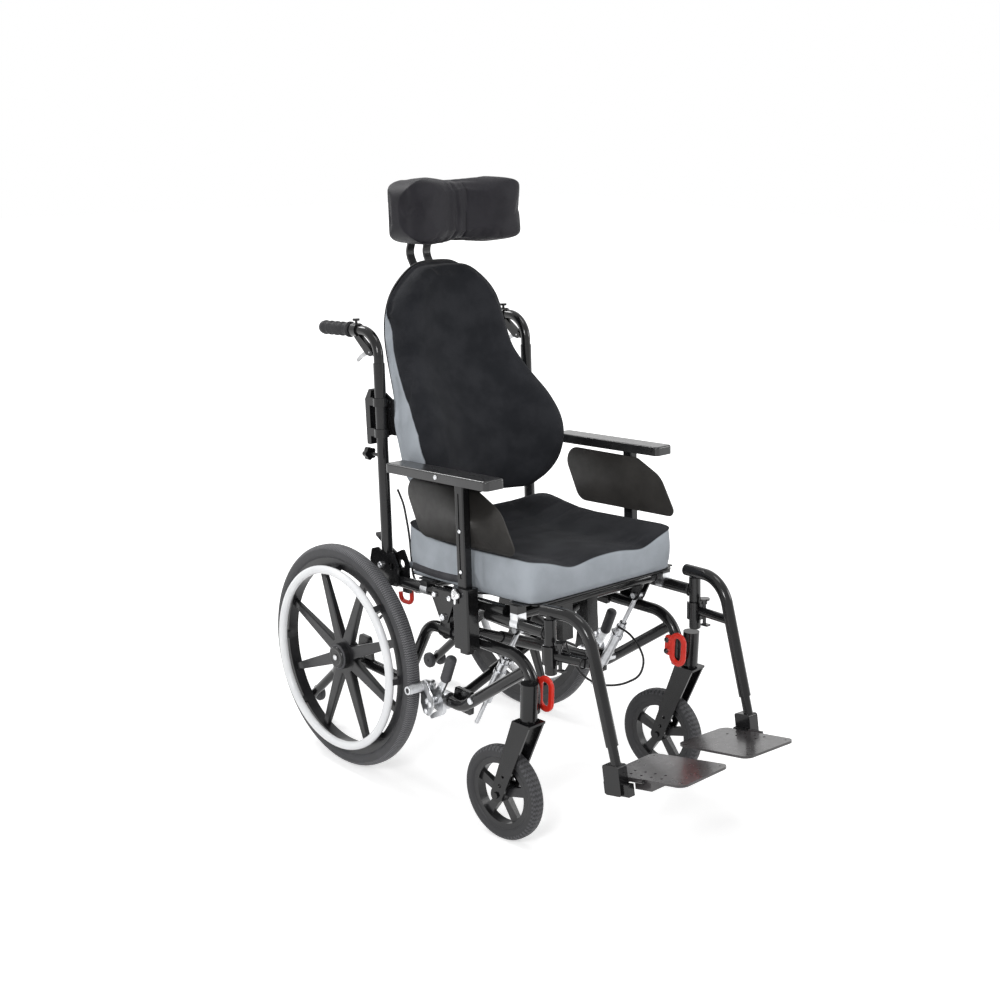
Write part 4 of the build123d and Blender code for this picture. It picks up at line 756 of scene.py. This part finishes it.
def screw(centre, axis, radius, rise):
    """A button-head screw: rings from the rim over a dome to a recess whose radius, apothem over cosine, has
    six flats."""
    sides = 24
    turn = full_turn(sides)
    round_one = np.ones(sides)
    six = 0.42 / np.cos((turn % (np.pi / 3)) - np.pi / 6)
    rows = [(round_one, 0.0), (round_one, 0.3), (0.86 * round_one, 0.78), (0.62 * round_one, 1.0),
            (1.12 * six, 1.0), (six, 0.92), (0.98 * six, 0.35)]
    axis, first, second = square_to(axis)
    ring = first * np.cos(turn)[:, None] + second * np.sin(turn)[:, None]
    points = [centre + (share[:, None] * radius * ring + axis * rise * height) / 1000.0
              for share, height in rows]
    return np.concatenate(points), ring_faces(len(rows), sides)


def weld(centre, axis, radius, bead=2.2):
    """A weld bead round a tube: a ring whose small circle swells with the sine of 13 times the angle, in
    overlapping scales."""
    around, small_sides = 120, 8
    axis, first, second = square_to(axis)
    turn, small = full_turn(around), full_turn(small_sides)
    scale = bead * (1.0 + 0.22 * np.abs(np.sin(turn * 13.0)))[:, None]
    out = first * np.cos(turn)[:, None] + second * np.sin(turn)[:, None]
    reach = radius + scale * np.cos(small)
    points = centre + (reach[..., None] * out[:, None] + (scale * np.sin(small))[..., None] * axis) / 1000.0
    return points.reshape(-1, 3), grid_faces(around, small_sides, close_rows=True)


def rounded(corners, steps=9):
    """A closed line through (y, z, radius) corners: straight runs joined by arcs tangent to both."""
    corners = np.asarray(corners, float)
    at, size = corners[:, :2], corners[:, 2]
    back = unit(np.roll(at, 1, 0) - at)
    on = unit(np.roll(at, -1, 0) - at)
    half = np.arccos(np.clip((back * on).sum(1), -1, 1)) / 2
    inner = unit(back + on)
    centre = at + inner * (size / np.sin(half))[:, None]
    turn = np.linspace(-1.0, 1.0, steps)[None] * (np.pi / 2 - half)[:, None]
    side = np.stack([-inner[:, 1], inner[:, 0]], -1)
    side = side * np.sign((side * on).sum(1))[:, None]
    arc = -inner[:, None] * np.cos(turn)[..., None] + side[:, None] * np.sin(turn)[..., None]
    return (centre[:, None] + arc * size[:, None, None]).reshape(-1, 2)


def plate(outline, x0, x1, rim, place):
    """A flat plate between two X positions: its outline carried round a rim of quarter circles. The rim has
    the sign of x1 - x0; where that is negative, as on the right side, the rim stands out, not in."""
    way = unit(np.roll(outline, -1, 0) - np.roll(outline, 1, 0))
    inward = np.stack([-way[:, 1], way[:, 0]], -1)
    area = (outline[:, 0] * np.roll(outline[:, 1], -1) - outline[:, 1] * np.roll(outline[:, 0], -1)).sum()
    inward = inward * np.sign(area)
    turn = np.linspace(0.0, np.pi / 2, 5)
    inset = np.concatenate([rim * (1 - np.sin(turn)), rim * (1 - np.cos(turn))])
    across = np.concatenate([x0 + rim * (1 - np.cos(turn)), x1 - rim * (1 - np.sin(turn))])
    rings = [place(np.column_stack([np.full(len(outline), x), outline + inward * i]))
             for x, i in zip(across, inset)]
    return np.concatenate(rings), ring_faces(len(rings), len(outline))


def detail(name, parts, finish, body, slot, *replaced):
    """One piece out of several closed shapes."""
    points, faces, count = [], [], 0
    for p, f in parts:
        points.append(p)
        faces += [[i + count for i in face] for face in f]
        count += len(p)
    mesh = outward(new_mesh(name, np.concatenate(points), faces))
    dress(link(name, mesh), finish, body, slot, *replaced)


# ---- hard details
def grip_sleeve(side, sign):
    """Grip turned round the handle's axis: front flange, square ribs over finger waves, a sine each, and an
    elliptic end."""
    y = np.linspace(96.0, 204.0, 150)
    wave = 0.9 * np.cos(2 * np.pi * (y - 104.0) / 21.0)
    rib = 0.45 * np.sign(np.sin(2 * np.pi * y / 3.6))
    body = smooth_step(y, 102.0, 104.0) * (1 - smooth_step(y, 190.0, 192.0))
    radius = 14.6 + (wave + rib) * body + 2.8 * (1 - smooth_step(y, 100.0, 102.0))
    radius = radius * np.sqrt(np.clip(1.0 - np.clip((y - 195.0) / 9.3, 0, 1) ** 2, 0.0, 1.0))
    centre = seat((sign * RAIL_X, 0.0, 549.0))
    part = lathe(np.stack([np.maximum(radius, 0.4), y], -1), centre, SEAT_BACK, 32)
    detail(f"grip_sleeve_{side}", [part], GRIP_RUBBER, f"handle_{side}", "grip_black", f"grip_{side}")


KNOB_Y, KNOB_Z = -294.0, 26.0


def arm_knob(side, sign):
    """Three-lobed chrome knob on the arm socket, with its short lever, a tapered tube hanging down."""
    profile = [[6, 0], [12.5, 0.6], [13, 2.5], [13, 6], [11, 8.5], [7, 9.6], [4.5, 9.8], [4.2, 8.6],
               [0.3, 8.6]]
    knob = lathe(profile, seat((sign * 265.4, KNOB_Y, KNOB_Z)), (sign, 0, 0), 48, 3, 0.24)
    reach = np.linspace(0, 1, 12)
    path = seat(np.stack([np.full(12, sign * 270.0), KNOB_Y + 2 * reach, KNOB_Z - 21.0 * reach], -1))
    radius = 3.6 * (1 - 0.3 * reach)
    radius[-1] = 1.2
    lever = tube(path, radius, 12, (1.0, 0.0, 0.0))
    detail(f"arm_knob_{side}", [knob, lever], CHROME, f"arm_lock_{side}", "lever_chrome", f"arm_lock_{side}")


HUB_X, VALVE_X, VALVE_R, VALVE_ANGLE = 302.8, 274.8, 206.5, math.radians(136.0)
HUB_TURNED = [    # name, finish, slot, sides and profile
    ("hub_cap", GLOSS_PLASTIC, "rim_black", 40,
     [[23.6, -5.4], [24.3, -4.6], [24.3, -2.2], [21, -0.4], [17, 0.3], [16.4, -0.3], [9, -0.3], [8.6, 0.8],
      [0.3, 1.2]]),
    ("hub_ring", SMALL_WHEEL, "rim_black", 48,
     [[28.6, -7.6], [30.0, -6.6], [30.0, -5.2], [28.8, -4.2], [25.6, -3.8], [0.3, -3.8]]),
    ("axle_button", ZINC, "handrim_silver", 24, [[6.5, 0.5], [6.5, 2.2], [5.4, 3.0], [0.3, 3.1]])]


def wheel_details(side, sign):
    """Hub cap, its ring and the axle button, and the valve stem, which points from the rim to the axle."""
    body = f"rear_wheel_{side}"
    for name, finish, slot, sides, profile in HUB_TURNED:
        part = lathe(profile, chair((sign * HUB_X, 0.0, AXLE_Z)), (sign, 0, 0), sides)
        detail(f"{name}_{side}", [part], finish, body, slot)
    inward = np.array([0.0, -math.cos(VALVE_ANGLE), -math.sin(VALVE_ANGLE)])
    foot = chair((sign * VALVE_X, 0, AXLE_Z)) - inward * VALVE_R / 1000.0
    stem = [[3.4, 0], [3.4, 6], [2.6, 7], [2.6, 20], [3.1, 20.5], [3.1, 28], [1.5, 29.5]]
    detail(f"valve_stem_{side}", [lathe(stem, foot, inward, 16)], GRIP_RUBBER, body, "rim_black")


def frame_plugs(side, sign):
    """Domed plastic plugs in the open tube ends."""
    dome = [[12.3, -2], [12.5, 0], [12.3, 1.4], [10, 3.0], [5, 3.9], [0.3, 4.0]]
    base = [lathe(dome, chair((sign * RAIL_X, -566.0, 287.8)), (0, 0, -1), 24)]
    detail(f"leg_plug_{side}", base, SHELL, "base", "frame_black")
    rail = [lathe(dome, seat((sign * RAIL_X, -8.0, 0.0)), SEAT_BACK, 24),
            lathe(dome, seat((sign * RAIL_X, -521.0, -104.0)), -SEAT_UP, 24)]
    detail(f"rail_plugs_{side}", rail, SHELL, "seat", "frame_black")


def frame_welds(side, sign):
    """Weld beads where the base's, the seat frame's and the leg supports' tubes meet."""
    strut = (0.0, -79.7, 158.0)
    base = [weld(chair((sign * RAIL_X, -156.6, 239.0)), strut, WELD_R)]
    detail(f"base_welds_{side}", base, GLOSS_BLACK, "base", "frame_black")
    joints = [weld(seat((sign * 204.6, y, -6.0)), (1, 0, 0), WELD_R) for y in (-410.0, -92.0)]
    joints.append(weld(seat((sign * RAIL_X, -508.0, -21.5)), SEAT_BACK, WELD_R))
    detail(f"seat_welds_{side}", joints, GLOSS_BLACK, "seat", "frame_black")
    leg = [weld(seat((sign * 215.5, -611.0, -65.0)), (0.0, -1.0, 0.0), 10.2, 1.8)]
    detail(f"leg_welds_{side}", leg, GLOSS_BLACK, f"leg_{side}", "frame_black")


SCREWS = [    # name, body, slot, and for each screw its x, y and z in the seat unit's frame, radius and rise
    ("seat_screws", "seat", "hardware_zinc",
     [(237.2, -184.2, 0.0, 6.2, 3.4), (237.2, -234.2, 0.0, 6.2, 3.4), (238.2, -210.2, -45.5, 7.5, 3.6),
      (238.7, 0.0, 34.0, 7.2, 3.4)]),
    ("arm_screws", "arm", "lever_chrome",
     [(259.4, -302.0, 74.0, 4.2, 2.2), (259.4, -302.0, 160.0, 4.2, 2.2)]),
    ("arm_pad_screw", "arm", "lever_chrome", [(275.1, -250.0, 269.0, 5.2, 2.6)])]


def side_screws(side, sign):
    """Button-head screws of the tilt plate, the back bracket, the arm post and the arm pad."""
    for name, body, slot, heads in SCREWS:
        parts = [screw(seat((sign * x, y, z)), (sign, 0.0, 0.0), radius, rise)
                 for x, y, z, radius, rise in heads]
        detail(f"{name}_{side}", parts, ZINC, body if body == "seat" else f"{body}_{side}", slot)


def zip_band(side, sign):
    """Zip tape on the cushion's side: a flat strip that sags as a sine, its middle raised, where a fine sine
    stands for the teeth."""
    y = np.linspace(-92.0, -262.0, 90)
    drop = 5.0 * np.sin((y + 92.0) / 60.0)
    rows = []
    for z, lift in ((52.0, 0.2), (51.0, 1.2), (46.0, 1.5), (45.2, 2.2), (42.8, 2.2), (42.0, 1.5), (37.0, 1.2),
                    (36.0, 0.2)):
        ripple = 0.35 * np.sin(y * 2.4) if lift > 2 else 0.0
        rows.append(seat(np.stack([sign * (CUSHION_HALF + 1.2 + lift + ripple) + 0 * y, y, z + drop], -1)))
    faces = grid_faces(len(rows), len(y), close_columns=False)
    obj = link(f"zip_band_{side}", new_mesh(f"zip_band_{side}", np.concatenate(rows), faces))
    thick = obj.modifiers.new("thick", "SOLIDIFY")
    thick.thickness = 0.0012
    thick.offset = 0.0
    dress(obj, ZIP_TAPE, "seat", "seat_fabric")


HINGE_Y, HINGE_Z = 36.0, 788.0


def head_hinge():
    """Two hinge ears on the pad's rear, each a half circle on a straight foot, and the pin through them."""
    turn = full_turn(28)
    y = np.where(np.sin(turn) >= 0, HINGE_Y + 8.0 * np.sin(turn), 24.4)
    z = HINGE_Z + 8.0 * np.cos(turn)
    pin = [[3.0, -39.3], [3.0, 39.3], [5.2, 39.35], [5.2, 41.4], [4.0, 42.4], [0.3, 42.5]]
    ears, pins = [], []
    for sign in SIDES.values():
        rings = [seat(np.stack([np.full(28, sign * x), y, z], -1)) for x in (34.3, 34.8, 38.8, 39.3)]
        ears.append((np.concatenate(rings), ring_faces(4, 28)))
        pins.append(lathe(pin, seat((0.0, HINGE_Y, HINGE_Z)), (sign, 0, 0), 24))
    detail("head_hinge", ears + pins, SATIN_BLACK, "head_pad", "frame_black")


LOOP_Z = 327.0           # middle height of the tie-down loops


def loop_caps(side, sign):
    """Dark domed heads of the two bolts that hold a tie-down loop."""
    dome = [[5.9, -0.2], [5.9, 1.2], [4.6, 2.6], [2.6, 3.2], [0.3, 3.3]]
    caps = [lathe(dome, chair((sign * 192.2, -554.0, LOOP_Z + dz)), (-sign, 0, 0), 24) for dz in (-9.0, 17.0)]
    detail(f"loop_caps_{side}", caps, GLOSS_PLASTIC, "base", "frame_black")


def tie_down_rings():
    """Red loops: a bar, its section a squared circle, carried round two half circles joined by straight
    runs, and a flange behind each."""
    around, small_sides = 72, 20
    turn = full_turn(around)
    straight = 15.5 * np.sign(np.sin(turn)) * smooth_step(np.abs(np.sin(turn)), 0.0, 0.12)
    path = np.column_stack([16.5 * np.cos(turn), 16.5 * np.sin(turn) + straight])
    way = unit(np.roll(path, -1, 0) - np.roll(path, 1, 0))
    out = np.stack([way[:, 1], -way[:, 0]], -1)
    wide, deep = squared_circle(small_sides, 0.6)
    flat = path[:, None] + out[:, None] * (6.5 * wide)[None, :, None]
    flange = rounded([(-563, 308, 6), (-545, 308, 7), (-545, 354, 7), (-563, 354, 6)])
    parts = []
    for sign in SIDES.values():
        x = np.broadcast_to(sign * (200.3 + 4.0 * deep), flat.shape[:2])
        points = chair(np.stack([x, flat[..., 0] - 581.0, flat[..., 1] + LOOP_Z], -1)).reshape(-1, 3)
        parts.append((points, grid_faces(around, small_sides, close_rows=True)))
        parts.append(plate(flange, sign * 196.5, sign * 204.1, sign * 1.4, chair))
    detail("tie_down_rings", parts, RED, "base", "red_coat", "tie_down_loops")


RIM_TURN = math.radians(22.0)


def turned_rim(side, sign):
    """The rim's own mesh, merged and turned about the axle so that its spokes stand as in the photograph;
    edges sharper than 30 degrees stay sharp."""
    mesh = merged_copy(f"rear_rim_{side}")
    for name in ("custom_normal", "sharp_face", "sharp_edge"):
        if name in mesh.attributes:
            mesh.attributes.remove(mesh.attributes[name])
    mesh.shade_smooth()
    mesh.set_sharp_from_angle(angle=math.radians(30.0))
    points = read(mesh.vertices, "co")
    centre = chair((0.0, 0.0, AXLE_Z))
    c, s = math.cos(RIM_TURN), math.sin(RIM_TURN)
    x, y, z = (points - centre).T
    move_to(mesh, centre + np.stack([x, y * c - z * s, y * s + z * c], -1))
    obj = link(f"turned_rim_{side}", mesh)
    dress(obj, RIM_PLASTIC, f"rear_wheel_{side}", "rim_black", f"rear_rim_{side}")


GUARD_CORNERS = [(-452, 126, 14), (-150, 126, 34), (-92, 250, 34), (-335, 247, 38), (-405, 212, 60)]


def skirt_guard(side, sign):
    """The guard's plate with large round corners."""
    parts = [plate(rounded(GUARD_CORNERS, 12), sign * 235.8, sign * 239.0, sign * 1.2, seat)]
    detail(f"guard_plate_{side}", parts, GUARD, f"arm_{side}", "guard_grey", f"skirt_guard_{side}")


LOCK_CHEEK = [(-277, 271, 8), (-259, 270, 8), (-262, 240, 9), (-262, 222, 7), (-272, 203, 6), (-291, 199, 7),
              (-302, 226, 10), (-297, 247, 9)]
LOCK_PIVOT = (-284.0, 233.0)
ROLLER = (0.0, -266.2, 261.0)


def wheel_lock_parts(side, sign):
    """Outer cheek of the wheel lock, its spacers and bolts, and the roller's sleeve, whose radius is a square
    wave along it, with a cupped end."""
    out = (sign, 0.0, 0.0)
    collar = [[0.3, 0], [8.2, 0], [9, 0.6], [9, 10], [8.2, 10.6], [0.3, 10.6]]
    bolt = [[0.3, 0], [3, 0], [3, 18], [6.2, 18], [6.4, 18.4], [6.4, 21.6], [5.4, 22.6], [0.3, 22.8]]
    head = [[7.4, -0.5], [7.4, 2.6], [6.2, 4.0], [0.3, 4.2]]
    groove = np.linspace(0.0, 1.0, 34)
    sleeve = np.column_stack([9.8 + 0.5 * np.sign(np.sin(groove * 2 * np.pi * 8)), 268.0 + 37.0 * groove])
    roller = np.concatenate([
        [[0.3, 250.0], [12.0, 250.0], [12.6, 251.0], [12.6, 260.0], [9.9, 262.0]], sleeve,
        [[9.4, 307.2], [8.7, 308.0], [6.4, 308.0], [5.8, 307.2], [5.6, 307.15], [0.3, 307.15]]])
    parts = [plate(rounded(LOCK_CHEEK), sign * 262.0, sign * 266.0, sign * 0.8, chair),
             lathe(collar, chair((sign * 251.4, *LOCK_PIVOT)), out, 28)]
    for y, z in ((-281.0, 209.0), (-294.0, 228.0)):
        parts.append(lathe(bolt, chair((sign * 247.6, y, z)), out, 24))
    parts.append(lathe(head, chair((sign * 266.0, *LOCK_PIVOT)), out, 6))
    parts.append(lathe(roller, chair(ROLLER), out, 32))
    detail(f"lock_cheek_{side}", parts, ZINC, f"wheel_lock_{side}", "hardware_zinc")
    # Painted shade: a thin dark rubber disc in the roller's cupped end stands for the shade inside its bore.
    hole_shade = lathe([[5.5, 307.0], [5.5, 307.5], [0.3, 307.5]], chair(ROLLER), out, 24)
    detail(f"roller_hole_shade_{side}", [hole_shade], GRIP_RUBBER, f"wheel_lock_{side}", "grip_black")


tie_down_rings()
for side, sign in SIDES.items():
    for make in (turned_rim, skirt_guard, wheel_lock_parts, loop_caps, grip_sleeve, arm_knob, wheel_details,
                 frame_plugs, frame_welds, side_screws):
        make(side, sign)
zip_band("right", SIDES["right"])
back_cushion()
seat_cushion()
head_pad()
head_hinge()


# ---- floor, surround and light
FLOOR_HALF = 14.0        # metres
LAMPS = [("lamp_top", (0.2, -0.4, 3.0), (0.0, 0.0, 0.5), 1.0, 14.0),    # name, place, aim, size in m, watts
         ("lamp_rear", (-0.5, 2.15, 2.75), (0.0, 0.1, 0.5), 0.9, 36.0),
         ("lamp_front_left", (-2.6, -1.6, 2.0), (0.0, 0.1, 0.6), 0.7, 40.0),
         ("lamp_right", (2.4, -1.8, 1.6), (0.0, 0.1, 0.5), 0.9, 18.0)]


def floor():
    """A pale floor that keeps the shadow; seen directly, it brightens from 1 m to 3 m out, into the white
    surround."""
    corners = [(-FLOOR_HALF, -FLOOR_HALF, 0), (FLOOR_HALF, -FLOOR_HALF, 0), (FLOOR_HALF, FLOOR_HALF, 0),
               (-FLOOR_HALF, FLOOR_HALF, 0)]
    obj = link("floor", new_mesh("floor", corners, [(0, 1, 2, 3)]))
    f = Finish("floor_white", (0.85, 0.85, 0.85), 0.9, Specular_IOR_Level=0.0, Emission_Color=(1, 1, 1, 1))
    far = f.node("VectorMath", [f.node("TexCoord", out="Object")], out="Value", operation="LENGTH")
    glow = f.node("MapRange", {"Value": far, "From Min": 1.0, "From Max": 3.0, "To Min": 0.5, "To Max": 1.0},
                  out="Result")
    f.give(Emission_Strength=f.direct() * glow)
    obj.data.materials.append(f.material)


def surround():
    """A white world: strength 1 seen directly, and half of that as light."""
    world = bpy.data.worlds.new("surround")
    bpy.context.scene.world = world
    sky = Tree(world)
    back = sky.tree.nodes["Background"]
    back.inputs["Color"].default_value = (1, 1, 1, 1)
    sky.feed(back.inputs["Strength"], sky.direct() * 0.5 + 0.5)


def lamps():
    """Large soft lamps, each turned from its place to its aim."""
    for name, where, aim, size, watts in LAMPS:
        data = bpy.data.lights.new(name, "AREA")
        data.size = size
        data.energy = watts
        ahead = unit(np.array(aim) - np.array(where))
        right = unit(np.cross(ahead, (0.0, 0.0, 1.0)))
        stand(link(name, data), where, right, np.cross(right, ahead), ahead)


floor()
surround()
lamps()
bpy.context.scene.view_settings.view_transform = "Standard"

bpy.context.view_layer.update()
